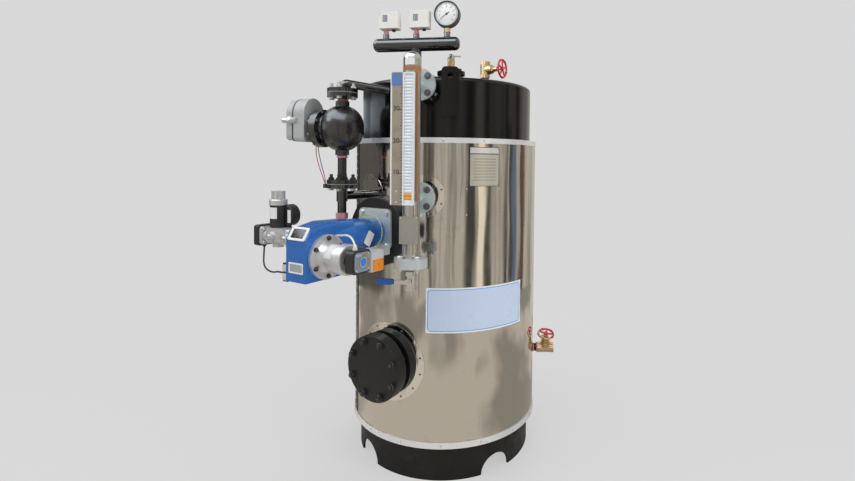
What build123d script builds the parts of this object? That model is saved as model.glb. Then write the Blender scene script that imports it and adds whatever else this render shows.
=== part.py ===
from build123d import *
import os
from math import cos, pi, radians, sin, tan

# Driving dimensions, in millimetres and degrees.
# The origin is the centre of the skirt's foot, the front is -Y and azimuths turn from the front towards +X.
seat = 0.3
running_fit = 0.06
root_depth = 10.0

shell_radius = 375.0
shell_wall = 8.0
skirt_height = 139.0
arch_radius = 68.0
arch_count = 4
arch_azimuth = -23.0
bottom_plate_thickness = 12.0
shell_height = 1361.0
head_height = 48.0
head_knuckle = 15.0
head_wall = 10.0

flue_radius = 100.0
flue_wall = 4.0
flue_stand = 40.0
flue_depth = 200.0
flue_flange_radius = 138.0
flue_flange_thickness = 8.0
flue_bolt_circle = 246.0
flue_bolt_count = 8
flue_bolt_hole = 12.0

insulation = 25.0
jacket_sheet = 2.0
collar_height = 186.0
band_thickness = 3.5
top_band_height = 20.0
bottom_band_height = 24.0

lug_azimuth = 35.0
lug_width = 66.0
lug_height = 190.0
lug_rise = 36.0
lug_thickness = 14.0
lug_eye_radius = 11.0
lug_eye_drop = 33.0
lug_corner = 16.0

hand_hole_drop = 101.5
hand_hole_neck_radius = 70.0
hand_hole_bore_radius = 62.0
hand_hole_pad_radius = 122.0
hand_hole_pad_stand = 20.0
hand_hole_reach = 48.0
hand_hole_flange_radius = 125.0
hand_hole_flange_thickness = 20.0
hand_hole_cover_thickness = 26.0
hand_hole_cover_edge = 2.0
hand_hole_bolt_circle = 210.0
hand_hole_bolt_count = 8
hand_hole_bolt_hole = 18.0
hand_hole_rosette_radius = 152.0
rosette_sheet = 1.5

burner_clearance = 130.0
burner_drum_radius = 131.0
burner_drum_stand = 78.0
burner_drum_round = 6.0
burner_drum_bore = 70.0
burner_plate_side = 152.0
burner_plate_corner = 20.0
burner_plate_rise = 12.0
burner_plate_thickness = 10.0
burner_reach = 360.0
burner_width = 90.0
burner_below_axis = 117.0
burner_front_height = 134.0
burner_bevel_height = 35.0
burner_bevel_depth = 22.0
burner_crest_rise = 14.0
burner_crest_setback = 94.0
burner_crest_fall = 4.0
burner_crest_round = 18.0
burner_tube_front_radius = 62.0
burner_tube_back_radius = 52.0
burner_tube_length = 152.0
burner_belly_drop = 40.0
burner_belly_slope = 50.0
burner_throat_height = 120.0
burner_throat_corner = 40.0
burner_throat_drop = 6.0
tap_radius = 5.0
tap_end = 60.0
window_width = 62.0
window_height = 34.0
window_depth = 3.0

motor_setback = 81.0
motor_drop = 43.0
motor_flange_radius = 72.0
motor_flange_thickness = 12.0
motor_recess_gap = 1.0
motor_body_radius = 44.0
motor_foot_radius = 54.0
motor_foot_length = 22.0
motor_body_length = 66.0
motor_cap_radius = 49.0
motor_cap_length = 28.0
motor_cap_round = 6.0
motor_bolt_circle = 122.0
motor_bolt_hole = 7.0
motor_bolt_count = 6

air_switch_width = 80.0
air_switch_height = 73.0
air_switch_depth = 32.0
air_switch_corner = 14.0
air_switch_edge = 5.0
air_switch_stub_radius = 26.0
air_switch_stub_length = 18.0
air_switch_dial_radius = 13.0
air_switch_dial_height = 4.0
switch_tap_rise = 45.0

transformer_width = 74.0
transformer_length = 62.0
transformer_height = 68.0
transformer_drop = 106.0
transformer_setback = 100.0
transformer_corner = 6.0
bracket_width = 14.0
bracket_height = 34.0
bracket_lap = 10.0
bracket_drop = 76.0

socket_depth = 26.0
socket_width = 44.0
socket_height = 58.0
socket_overhang = 5.0
socket_setback = 6.0
socket_corner = 5.0
socket_hole_radius = 9.0
socket_hole_depth = 4.0
socket_hole_pitch = 25.5
lead_gap = 0.6

gas_setback = 188.0
gas_axis_drop = 22.0
gas_body_left = -388.0
gas_body_length = 165.0
gas_body_radius = 30.0
gas_flange_side = 68.0
gas_flange_thickness = 14.0
gas_flange_corner = 10.0
gas_pad_length = 92.0
gas_pad_width = 62.0
gas_pad_rise = 34.0
gas_boss_radius = 28.0
gas_boss_end = 68.0
gas_gland_drop = 46.0
gas_pipe_radius = 16.5
gas_union_radius = 25.0
gas_union_length = 26.0
gas_cap_radius = 19.0
gas_cap_length = 10.0
gas_cap_left = 62.0
gas_cap_right = 143.0
gas_inlet_radius = 13.2
gas_inlet_boss_radius = 20.0
gas_inlet_boss_length = 10.0
gas_inlet_depth = 20.0
solenoid_offset = 66.0
solenoid_radius = 30.0
solenoid_height = 84.0
solenoid_cap_radius = 33.0
solenoid_cap_height = 22.0
solenoid_cap_round = 5.0
solenoid_knob_radius = 25.0
solenoid_knob_height = 30.0
solenoid_knob_flutes = 9
solenoid_flute_radius = 4.0
actuator_radius = 40.0
actuator_depth = 40.0
actuator_offset = 98.0
actuator_rise = 46.0
actuator_setback = 25.0
actuator_neck_setback = 22.0
actuator_round = 5.0
actuator_neck_radius = 10.0
gas_switch_thickness = 30.0
gas_switch_width = 74.0
gas_switch_height = 78.0
gas_switch_corner = 9.0
gas_switch_edge = 4.0

gauge_azimuth = 21.5
gauge_arm = 110.0
column_radius = 30.15
column_below_arm = 214.0
column_above_arm = 97.0
column_cap_height = 26.0
gauge_upper_drop = 47.0
gauge_lower_rise = 133.0
gauge_face_stand = 70.0
pipe_radius = 16.85
pipe_flange_radius = 57.5
pipe_flange_thickness = 16.0
pipe_bolt_circle = 85.0
pipe_bolt_hole = 14.0
pipe_bolt_count = 4
nozzle_radius = 24.0
tee_plug_radius = 19.0
tee_plug_length = 34.0
nozzle_rosette_radius = 80.0
drain_boss_radius = 16.0
drain_boss_length = 14.0

rail_width = 38.0
rail_below_arm = 15.0
rail_above_arm = 20.0
rail_depth = 15.0
rail_lip = 5.0
rail_recess = 6.0
scale_width = 42.0
scale_thickness = 2.5
scale_corner = 3.0

drain_body_radius = 21.0
drain_body_length = 66.0
drain_nut_radius = 23.0
drain_nut_length = 14.0
drain_bore_radius = 9.0
drain_neck_radius = 12.0
drain_neck_length = 30.0
drain_stem_radius = 5.0
drain_stem_depth = 14.0
stem_end_gap = 1.0
lever_length = 112.0
lever_width = 14.0
lever_thickness = 4.0
lever_grip_length = 62.0
lever_grip_width = 19.0
lever_grip_thickness = 12.0
lever_eye_radius = 11.0
lever_lap = 40.0
lever_nut_height = 6.0

float_azimuth = -16.5
float_stand = 126.0
float_upper_run = 135.0
float_ball_radius = 82.0
float_waist = 14.0
float_boss_radius = 26.0
float_boss_length = 14.0
float_lower_run = 214.0
float_throat_radius = 59.0
float_head_azimuth = -78.0
float_ring_radius = 73.0
float_ring_thickness = 14.0
float_ring_start = 76.0
float_fin_radius = 44.0
float_fin_core_radius = 34.0
float_fin_count = 3
float_fin_thickness = 4.0
float_fin_pitch = 8.0
float_neck_rise = 12.0
switch_head_radius = 63.0
switch_head_foot = 63.0
switch_head_arc_rise = 42.0
switch_head_length = 85.0
switch_head_lid = 30.0
switch_head_lid_step = 4.0
switch_head_corner = 18.0
head_gland_rise = 20.0
gland_radius = 7.0
gland_length = 20.0
float_run_rise = 39.0
float_entry_rise = 19.0
float_upper_entry_azimuth = -6.0
float_bend_radius = 17.0
float_tee_drop = 45.0
float_tee_radius = 20.85
float_tee_length = 44.0
float_union_drop = 78.0
float_union_radius = 23.0
float_union_length = 22.0
float_leg_drop = 140.0
float_plug_radius = 20.0
float_plug_length = 16.0
wire_clip_radius = 8.0

manifold_setback = 48.0
manifold_shift = -57.0
manifold_rise = 133.0
manifold_length = 348.0
manifold_pipe_radius = 26.5
manifold_end_round = 20.0
stand_pipe_radius = 21.0
manifold_pitch = 123.0
manifold_socket_radius = 12.5
manifold_socket_rise = 42.0
switch_stem_radius = 8.0
switch_nut_radius = 11.0
switch_nut_length = 12.0
switch_stem_length = 20.0
switch_box_width = 77.0
switch_box_height = 66.0
switch_box_depth = 46.0
switch_box_corner = 4.0
switch_box_shift = 15.4
switch_window_width = 20.0
switch_window_height = 27.0
switch_window_depth = 2.0
switch_window_shift = 13.86
switch_window_rise = 38.28
dial_radius = 50.0
dial_depth = 34.0
dial_bezel = 5.0
dial_recess = 4.0
dial_stem_length = 20.0
dial_nut_radius = 13.0
dial_nut_length = 16.0
dial_stem_radius = 8.0

valve_bore_radius = 12.0
valve_thread_depth = 20.0
valve_end_radius = 24.0
valve_end_length = 15.0
valve_barrel_radius = 22.0
valve_length = 74.0
bonnet_radius = 21.0
bonnet_nut_radius = 16.0
bonnet_reach = 36.0
bonnet_nut_length = 9.0
packing_radius = 10.5
packing_length = 16.0
stem_radius = 4.5
stem_depth = 22.0
wheel_rim_radius = 4.2
wheel_hub_radius = 9.0
wheel_hub_length = 13.0
wheel_spokes = 5
wheel_spoke_width = 6.0
wheel_spoke_thickness = 5.0
wheel_lobe_radius = 6.0
top_valve_x = 143.0
top_valve_y = 94.0
top_valve_rise = 94.0
top_nipple_radius = 16.7
top_wheel_radius = 44.0
top_wheel_reach = 88.0
blowdown_azimuth = 120.0
blowdown_drop = 66.0
blowdown_nipple_radius = 17.0
blowdown_nipple_length = 22.0
blowdown_tilt = 20.0
blowdown_wheel_radius = 38.0
blowdown_wheel_reach = 74.0

safety_setback = 122.0
safety_azimuth = 37.5
safety_stand = 32.0
safety_flange_thickness = 14.0
safety_body_radius = 15.0
safety_nut_radius = 18.0
safety_nut_height = 16.0
safety_height = 62.0
safety_cap_radius = 8.25
safety_cap_height = 12.0
safety_lever_length = 40.0
safety_lever_width = 8.0
safety_lever_thickness = 5.0
safety_lever_rise = 4.0

cable_radius = 3.0
wire_radius = 1.6
hose_radius = 3.0
cable_offsets = [
    (-403, 188, -68.3),
    (-403, 185, -106),
    (-380, 168, -136),
    (-314, 135, -141),
    (-238, 96, -131),
    (-170, 60, -116),
    (-120, 25, -101),
    (-80, 22, -100),
]
hose_offsets = [
    (61, 108, 22),
    (92, 104, 26),
    (126, 91, 32),
    (156, 77, 31),
    (178, 69, 20),
    (184, 68, 3.8),
]
earth_wire_offsets = [
    (-62, -0.4, 48),
    (-60, -15, 52),
    (-30, -24, 64),
    (5, -28, 66),
    (38, -32, 60),
    (64, -38, 40),
    (82, -48, 15),
    (92, -64, -8),
    (98, -87, -24),
    (98, -104, -36.7),
]
red_wire_offsets = [
    (-115.4, -24.5, -32.4),
    (-114.9, -25.1, -75),
    (-106.6, -28.7, -107),
    (-91.6, -31.7, -139),
    (-74.6, -34.7, -169),
    (-60.6, -36.7, -194),
    (-52, -37.4, -212.8),
]
blue_wire_offsets = [
    (-117.6, -19.3, -32.4),
    (-117.1, -19.9, -75),
    (-110.6, -22.7, -108),
    (-96.6, -25.7, -141),
    (-79.6, -29.2, -172),
    (-64.1, -32.2, -196),
    (-54.8, -33.2, -212.8),
]

# Values that follow from the driving dimensions.
shell_bottom = skirt_height + bottom_plate_thickness
shell_top = shell_bottom + shell_height
head_top = shell_top + head_height
jacket_radius = shell_radius + insulation
jacket_bottom = skirt_height
jacket_top = shell_top - collar_height
lug_top = head_top + lug_rise
gauge_upper_height = head_top - gauge_upper_drop
float_upper_entry_height = gauge_upper_height
float_upper_flange = float_upper_entry_height - float_entry_rise
float_upper_run_height = float_upper_flange + float_run_rise
float_height = float_upper_flange - float_upper_run
float_lower_flange = float_height - float_lower_run
float_tee_height = float_lower_flange - float_tee_drop
float_union_height = float_tee_height - float_union_drop
float_leg_bottom = float_tee_height - float_leg_drop
float_radius = jacket_radius + float_stand
burner_height = float_tee_height - burner_clearance
gauge_lower_height = burner_height + gauge_lower_rise
hand_hole_height = (jacket_bottom + burner_height) / 2 - hand_hole_drop
hand_hole_pad_face = jacket_radius + hand_hole_pad_stand
hand_hole_face = hand_hole_pad_face + hand_hole_reach
burner_drum_face = jacket_radius + burner_drum_stand
burner_plate_face = burner_drum_face + burner_plate_thickness
burner_front = burner_plate_face + burner_reach
burner_belly_back = burner_plate_face + burner_tube_length
burner_crest_front = burner_front - burner_crest_setback
burner_bottom = burner_height - burner_below_axis
burner_bevel_foot = burner_bottom + burner_front_height
burner_bevel_top = burner_bevel_foot + burner_bevel_height
burner_crest = burner_bevel_top + burner_crest_rise
half_burner = burner_width / 2
motor_radius_from_axis = burner_front - motor_setback
motor_height = burner_height - motor_drop
transformer_bottom = burner_height - transformer_drop
transformer_back = burner_plate_face + transformer_setback
socket_bottom = burner_bottom - socket_overhang
gas_axis_y = gas_setback - burner_front
gas_axis_height = burner_height - gas_axis_drop
gas_body_right = gas_body_left + gas_body_length
gas_body_top = gas_axis_height + gas_pad_rise
actuator_height = gas_body_top + actuator_rise
gauge_face = jacket_radius + gauge_face_stand
gauge_radius = gauge_face + gauge_arm
nozzle_back = gauge_face - pipe_flange_thickness
column_bottom = gauge_lower_height - column_below_arm
column_top = gauge_upper_height + column_above_arm
rail_bottom = gauge_lower_height - rail_below_arm
rail_height = gauge_upper_height + rail_above_arm - rail_bottom
drain_top = column_bottom - pipe_flange_thickness - drain_boss_length
drain_pivot_height = drain_top - drain_body_length / 2
manifold_radius = shell_radius - manifold_setback
manifold_height = head_top + manifold_rise
manifold_socket_top = manifold_height + manifold_socket_rise
switch_box_bottom = manifold_socket_top + switch_stem_length
dial_height = manifold_socket_top + dial_stem_length + dial_radius
top_valve_height = head_top + top_valve_rise
blowdown_height = hand_hole_height - blowdown_drop
bonnet_end = bonnet_reach + bonnet_nut_length + packing_length
safety_radius = manifold_radius - safety_setback
tall = 4 * head_top
bottom_align = (Align.CENTER, Align.CENTER, Align.MIN)


def radial_plane(azimuth, radius, height):
    turn = radians(azimuth)
    return Plane(
        origin=(radius * sin(turn), -radius * cos(turn), height),
        x_dir=(cos(turn), sin(turn), 0),
        z_dir=(sin(turn), -cos(turn), 0),
    )


def level_plane(azimuth, radius, height):
    turn = radians(azimuth)
    return Plane(
        origin=(radius * sin(turn), -radius * cos(turn), height),
        x_dir=(cos(turn), sin(turn), 0),
        z_dir=(0, 0, 1),
    )


def add_rod(plane, radius, length, mode=Mode.ADD):
    with Locations(plane):
        Cylinder(radius, length, align=bottom_align, mode=mode)


def add_hex(plane, radius, length):
    with BuildSketch(plane) as profile:
        RegularPolygon(radius, 6)
    extrude(profile.sketch, amount=length)


def drill_circle(plane, bolt_circle, hole, count, depth, start=0):
    with Locations(plane):
        with PolarLocations(bolt_circle / 2, count, start):
            Cylinder(hole / 2, depth, align=bottom_align, mode=Mode.SUBTRACT)


def add_pipe_flange(plane):
    add_rod(plane, pipe_flange_radius, pipe_flange_thickness)
    drill_circle(plane, pipe_bolt_circle, pipe_bolt_hole, pipe_bolt_count, pipe_flange_thickness, 45)


def route_from(anchor, offsets):
    return [tuple(anchor + Vector(*offset)) for offset in offsets]


def clear_cylinder(radius):
    Cylinder(radius + seat, tall, mode=Mode.SUBTRACT)


def save(builder, name):
    builder.part.label = name
    export_step(builder.part, "parts/" + name + ".step")


os.makedirs("parts", exist_ok=True)

# Each lead's route is laid out from the piece that carries it.
burner_nose = radial_plane(0, burner_front, burner_height).origin
burner_root = radial_plane(0, burner_plate_face, burner_height).origin
float_middle = radial_plane(float_azimuth, float_radius, float_height).origin
cable_route = route_from(burner_nose, cable_offsets)
hose_route = route_from(burner_nose, hose_offsets)
earth_wire_route = route_from(burner_root, earth_wire_offsets)
red_wire_route = route_from(float_middle, red_wire_offsets)
blue_wire_route = route_from(float_middle, blue_wire_offsets)


# Skirt with arched openings at the foot.
with BuildPart() as skirt:
    Cylinder(shell_radius, skirt_height, align=bottom_align)
    Cylinder(shell_radius - shell_wall, skirt_height, align=bottom_align, mode=Mode.SUBTRACT)
    for number in range(arch_count):
        azimuth = arch_azimuth + number * 360 / arch_count
        add_rod(radial_plane(azimuth, shell_radius / 2, 0), arch_radius, shell_radius, Mode.SUBTRACT)
save(skirt, "skirt")

with BuildPart() as bottom_plate:
    with Locations((0, 0, skirt_height)):
        Cylinder(shell_radius, bottom_plate_thickness, align=bottom_align)
save(bottom_plate, "bottom_plate")

with BuildPart() as boiler_shell:
    with Locations((0, 0, shell_bottom)):
        Cylinder(shell_radius, shell_height, align=bottom_align)
        Cylinder(shell_radius - shell_wall, shell_height, align=bottom_align, mode=Mode.SUBTRACT)
save(boiler_shell, "boiler_shell")

# Flanged flat head with a rolled knuckle and a central hole for the flue.
with BuildPart() as top_head:
    bend = (shell_radius - head_knuckle, head_top - head_knuckle)
    rim = flue_radius + seat
    with BuildSketch(Plane.XZ):
        with BuildLine():
            Line((rim, head_top), (bend[0], head_top))
            CenterArc(bend, head_knuckle, 90, -90)
            Line((shell_radius, bend[1]), (shell_radius, shell_top))
            Line((shell_radius, shell_top), (shell_radius - head_wall, shell_top))
            Line((shell_radius - head_wall, shell_top), (shell_radius - head_wall, bend[1]))
            CenterArc(bend, head_knuckle - head_wall, 0, 90)
            Line((bend[0], head_top - head_wall), (rim, head_top - head_wall))
            Line((rim, head_top - head_wall), (rim, head_top))
        make_face()
    revolve(axis=Axis.Z)
save(top_head, "top_head")

# Flue stub: the flanged end of the uptake tube that runs down inside the vessel.
with BuildPart() as flue_outlet:
    with Locations((0, 0, head_top - flue_depth)):
        Cylinder(flue_radius, flue_depth + flue_stand, align=bottom_align)
    with Locations((0, 0, head_top + flue_stand - flue_flange_thickness)):
        Cylinder(flue_flange_radius, flue_flange_thickness, align=bottom_align)
    with Locations((0, 0, head_top - flue_depth + flue_wall)):
        Cylinder(flue_radius - flue_wall, flue_depth + flue_stand, align=bottom_align, mode=Mode.SUBTRACT)
    flue_flange_plane = Plane.XY.offset(head_top + flue_stand - flue_flange_thickness)
    drill_circle(flue_flange_plane, flue_bolt_circle, flue_bolt_hole, flue_bolt_count, flue_flange_thickness)
save(flue_outlet, "flue_outlet")

# Polished jacket: a thin sheet with lips turned in to the shell at both ends.
with BuildPart() as jacket:
    lip = shell_radius + seat
    inner = jacket_radius - jacket_sheet
    with BuildSketch(Plane.XZ):
        with BuildLine():
            Polyline(
                (lip, jacket_bottom), (jacket_radius, jacket_bottom),
                (jacket_radius, jacket_top), (lip, jacket_top),
                (lip, jacket_top - jacket_sheet), (inner, jacket_top - jacket_sheet),
                (inner, jacket_bottom + jacket_sheet), (lip, jacket_bottom + jacket_sheet), close=True,
            )
        make_face()
    revolve(axis=Axis.Z)
    for azimuth, height, opening in (
        (0, hand_hole_height, hand_hole_pad_radius),
        (0, burner_height, burner_drum_radius),
        (gauge_azimuth, gauge_lower_height, nozzle_radius),
        (float_azimuth, float_tee_height, pipe_radius),
        (blowdown_azimuth, blowdown_height, blowdown_nipple_radius),
    ):
        add_rod(radial_plane(azimuth, shell_radius / 2, height), opening + seat, shell_radius, Mode.SUBTRACT)
save(jacket, "jacket")

with BuildPart() as jacket_bands:
    band_radius = jacket_radius + seat
    top_band_foot = jacket_top - top_band_height
    for bottom, height in ((jacket_bottom, bottom_band_height), (top_band_foot, top_band_height)):
        with BuildSketch(Plane.XY.offset(bottom)):
            Circle(band_radius + band_thickness)
            Circle(band_radius, mode=Mode.SUBTRACT)
        extrude(amount=height)
save(jacket_bands, "jacket_bands")

# Cover sheets riveted on the jacket round the openings.
with BuildPart() as jacket_rosettes:
    rosette_back = radial_plane(0, shell_radius / 2, hand_hole_height)
    add_rod(rosette_back, hand_hole_rosette_radius, shell_radius)
    add_rod(rosette_back, hand_hole_pad_radius + seat, shell_radius, Mode.SUBTRACT)
    for azimuth, height, hole in (
        (gauge_azimuth, gauge_lower_height, nozzle_radius),
        (float_azimuth, float_tee_height, pipe_radius),
    ):
        nozzle_back_plane = radial_plane(azimuth, shell_radius / 2, height)
        add_rod(nozzle_back_plane, nozzle_rosette_radius, shell_radius)
        add_rod(nozzle_back_plane, hole + seat, shell_radius, Mode.SUBTRACT)
    add_rod(radial_plane(0, 0, burner_height), burner_drum_radius + seat, 2 * jacket_radius, Mode.SUBTRACT)
    Cylinder(jacket_radius + seat + rosette_sheet, tall, mode=Mode.INTERSECT)
    clear_cylinder(jacket_radius)
save(jacket_rosettes, "jacket_rosettes")

# Lifting lugs: upright plates welded against the collar above the jacket.
with BuildPart() as lifting_lugs:
    for azimuth in (lug_azimuth, lug_azimuth + 180):
        with BuildSketch(radial_plane(azimuth, shell_radius + seat, lug_top - lug_height / 2)) as lug_profile:
            Rectangle(lug_width, lug_height)
            fillet(lug_profile.vertices().group_by(Axis.Y)[-1], lug_corner)
            with Locations((0, lug_height / 2 - lug_eye_drop)):
                Circle(lug_eye_radius, mode=Mode.SUBTRACT)
        extrude(amount=lug_thickness)
save(lifting_lugs, "lifting_lugs")

# Hand hole: pad and neck on the shell, with a flange that a blind cover closes.
with BuildPart() as hand_hole_neck:
    hand_hole_back = radial_plane(0, shell_radius / 2, hand_hole_height)
    add_rod(hand_hole_back, hand_hole_pad_radius, hand_hole_pad_face - shell_radius / 2)
    add_rod(hand_hole_back, hand_hole_neck_radius, hand_hole_face - shell_radius / 2)
    flange_back = radial_plane(0, hand_hole_face - hand_hole_flange_thickness, hand_hole_height)
    add_rod(flange_back, hand_hole_flange_radius, hand_hole_flange_thickness)
    drill_circle(
        flange_back, hand_hole_bolt_circle, hand_hole_bolt_hole, hand_hole_bolt_count,
        hand_hole_flange_thickness, 180 / hand_hole_bolt_count,
    )
    add_rod(hand_hole_back, hand_hole_bore_radius, shell_radius, Mode.SUBTRACT)
    clear_cylinder(shell_radius)
save(hand_hole_neck, "hand_hole_neck")

with BuildPart() as hand_hole_cover:
    cover_back = radial_plane(0, hand_hole_face, hand_hole_height)
    add_rod(cover_back, hand_hole_flange_radius, hand_hole_cover_thickness)
    chamfer(hand_hole_cover.edges().sort_by(Axis.Y)[0], hand_hole_cover_edge)
    drill_circle(
        cover_back, hand_hole_bolt_circle, hand_hole_bolt_hole, hand_hole_bolt_count,
        hand_hole_cover_thickness, 180 / hand_hole_bolt_count,
    )
save(hand_hole_cover, "hand_hole_cover")

# Burner: drum on the shell, square mounting plate and the housing with its tube.
with BuildPart() as burner_mount:
    drum_back = radial_plane(0, shell_radius / 2, burner_height)
    add_rod(drum_back, burner_drum_radius, burner_drum_face - shell_radius / 2)
    fillet(burner_mount.edges().sort_by(Axis.Y)[0], burner_drum_round)
    add_rod(drum_back, burner_drum_bore, burner_drum_face, Mode.SUBTRACT)
    clear_cylinder(shell_radius)
save(burner_mount, "burner_mount")

with BuildPart() as burner_plate:
    with BuildSketch(radial_plane(0, burner_drum_face, burner_height + burner_plate_rise)):
        RectangleRounded(burner_plate_side, burner_plate_side, burner_plate_corner)
    extrude(amount=burner_plate_thickness)
save(burner_plate, "burner_plate")

motor_plane = Plane(
    origin=(half_burner + seat, -motor_radius_from_axis, motor_height), x_dir=(0, 1, 0), z_dir=(1, 0, 0)
)
with BuildPart() as burner_housing:
    bevel_back = burner_front - burner_bevel_depth
    with BuildSketch(Plane.YZ):
        with BuildLine():
            Polyline(
                (-burner_front, burner_bottom), (-burner_front, burner_bevel_foot),
                (-bevel_back, burner_bevel_top),
                (-burner_crest_front, burner_crest), (-burner_belly_back, burner_crest - burner_crest_fall),
                (-burner_belly_back, burner_height - burner_belly_drop),
                (-burner_belly_back - burner_belly_slope, burner_bottom), close=True,
            )
        make_face()
    extrude(amount=half_burner, both=True)
    upper_edges = burner_housing.edges().filter_by(lambda edge: edge.center().Z > burner_bevel_top)
    fillet(upper_edges.filter_by(Axis.X, reverse=True), burner_crest_round)
    tube_axis = radial_plane(0, burner_plate_face, burner_height)
    with Locations(tube_axis):
        Cone(burner_tube_back_radius, burner_tube_front_radius, burner_tube_length, align=bottom_align)
    with BuildSketch(radial_plane(0, burner_belly_back, burner_height)):
        Circle(burner_tube_front_radius)
    with BuildSketch(radial_plane(0, burner_crest_front, burner_height - burner_throat_drop)):
        RectangleRounded(burner_width, burner_throat_height, burner_throat_corner)
    loft()
    add_rod(Plane(origin=(0, gas_axis_y, gas_axis_height), z_dir=(-1, 0, 0)), gas_boss_radius, gas_boss_end)
    tap_plane = Plane(origin=(0, hose_route[0][1], hose_route[0][2]), z_dir=(1, 0, 0))
    add_rod(tap_plane, tap_radius, tap_end)
    motor_recess = motor_flange_radius + motor_recess_gap
    add_rod(motor_plane.offset(-seat), motor_recess, motor_flange_radius, Mode.SUBTRACT)
    bevel_rise = burner_bevel_top - burner_bevel_foot
    window_plane = Plane(
        origin=(0, -(burner_front + bevel_back) / 2, (burner_bevel_foot + burner_bevel_top) / 2),
        x_dir=(1, 0, 0), z_dir=(0, -bevel_rise, burner_bevel_depth),
    )
    with BuildSketch(window_plane):
        Rectangle(window_width, window_height)
    extrude(amount=-window_depth, mode=Mode.SUBTRACT)
save(burner_housing, "burner_housing")

with BuildPart() as burner_motor:
    add_rod(motor_plane, motor_flange_radius, motor_flange_thickness)
    drill_circle(
        motor_plane, motor_bolt_circle, motor_bolt_hole, motor_bolt_count,
        motor_flange_thickness, 180 / motor_bolt_count,
    )
    with Locations(motor_plane.offset(motor_flange_thickness)):
        Cone(motor_foot_radius, motor_body_radius, motor_foot_length, align=bottom_align)
    add_rod(motor_plane, motor_body_radius, motor_flange_thickness + motor_body_length)
    cap_start = motor_flange_thickness + motor_body_length
    add_rod(motor_plane.offset(cap_start), motor_cap_radius, motor_cap_length)
    fillet(burner_motor.edges().sort_by(Axis.X)[-1], motor_cap_round)
save(burner_motor, "burner_motor")

motor_tip = motor_flange_thickness + motor_body_length + motor_cap_length
with BuildPart() as air_pressure_switch:
    add_rod(motor_plane.offset(motor_tip), air_switch_stub_radius, air_switch_stub_length)
    with BuildSketch(motor_plane.offset(motor_tip + air_switch_stub_length)):
        RectangleRounded(air_switch_width, air_switch_height, air_switch_corner)
    extrude(amount=air_switch_depth)
    fillet(air_pressure_switch.faces().sort_by(Axis.X)[-1].edges(), air_switch_edge)
    dial_plane = motor_plane.offset(motor_tip + air_switch_stub_length + air_switch_depth)
    add_rod(dial_plane, air_switch_dial_radius, air_switch_dial_height)
    add_rod(Plane(origin=(hose_route[-1][0], hose_route[-1][1], motor_height)), tap_radius, switch_tap_rise)
save(air_pressure_switch, "air_pressure_switch")

transformer_inner = burner_tube_front_radius + seat
with BuildPart() as ignition_transformer:
    transformer_centre = transformer_back + transformer_length / 2
    with Locations((transformer_inner + transformer_width / 2, -transformer_centre, transformer_bottom)):
        Box(transformer_width, transformer_length, transformer_height, align=bottom_align)
    fillet(ignition_transformer.edges().filter_by(Axis.Z), transformer_corner)
    bracket_length = transformer_setback + bracket_lap
    with Locations((transformer_inner, -burner_plate_face, burner_height - bracket_drop)):
        Box(bracket_width, bracket_length, bracket_height, align=(Align.MIN, Align.MAX, Align.MIN))
save(ignition_transformer, "ignition_transformer")

socket_back = -half_burner - seat
with BuildPart() as burner_sockets:
    with Locations((socket_back, socket_setback - burner_front, socket_bottom)):
        Box(socket_depth, socket_width, socket_height, align=(Align.MAX, Align.MIN, Align.MIN))
    fillet(burner_sockets.edges().filter_by(Axis.Z).group_by(Axis.X)[0], socket_corner)
    socket_face = Plane(
        origin=(socket_back - socket_depth + socket_hole_depth,
                socket_setback - burner_front + socket_width / 2, socket_bottom + socket_height / 2),
        x_dir=(0, 0, 1), z_dir=(-1, 0, 0),
    )
    with Locations(socket_face):
        with GridLocations(socket_hole_pitch, socket_hole_pitch, 2, 1):
            Cylinder(socket_hole_radius, socket_hole_depth, align=bottom_align, mode=Mode.SUBTRACT)
    lead_plane = Plane(origin=(socket_back - socket_depth / 2, *cable_route[-1][1:]), z_dir=(-1, 0, 0))
    add_rod(lead_plane, gland_radius, socket_back - socket_depth / 2 - cable_route[-1][0] - lead_gap)
save(burner_sockets, "burner_sockets")

# Gas train: valve body along X with its coil, actuator and pressure switch.
gas_plane = Plane(origin=(gas_body_left, gas_axis_y, gas_axis_height), x_dir=(0, 1, 0), z_dir=(1, 0, 0))
gas_pad_centre = gas_body_left + (solenoid_offset + actuator_offset) / 2
with BuildPart() as gas_valve_body:
    add_rod(gas_plane, gas_body_radius, gas_body_length)
    for start in (0, gas_body_length - gas_flange_thickness):
        with BuildSketch(gas_plane.offset(start)):
            RectangleRounded(gas_flange_side, gas_flange_side, gas_flange_corner)
        extrude(amount=gas_flange_thickness)
    with Locations((gas_pad_centre, gas_axis_y, gas_axis_height)):
        Box(gas_pad_length, gas_pad_width, gas_body_top - gas_axis_height, align=bottom_align)
    for offset in (gas_cap_left, gas_cap_right):
        cap_plane = Plane(origin=(gas_body_left + offset, gas_axis_y, gas_axis_height), z_dir=(0, -1, 0))
        add_rod(cap_plane, gas_cap_radius, gas_body_radius + gas_cap_length)
    inlet_x = gas_body_left + solenoid_offset
    inlet_plane = Plane(origin=(inlet_x, gas_axis_y, gas_axis_height), z_dir=(0, 0, -1))
    inlet_reach = gas_body_radius + gas_inlet_boss_length
    add_rod(inlet_plane, gas_inlet_boss_radius, inlet_reach)
    inlet_root = inlet_plane.offset(inlet_reach - gas_inlet_depth)
    add_rod(inlet_root, gas_inlet_radius, gas_inlet_depth, Mode.SUBTRACT)
save(gas_valve_body, "gas_valve_body")

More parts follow.
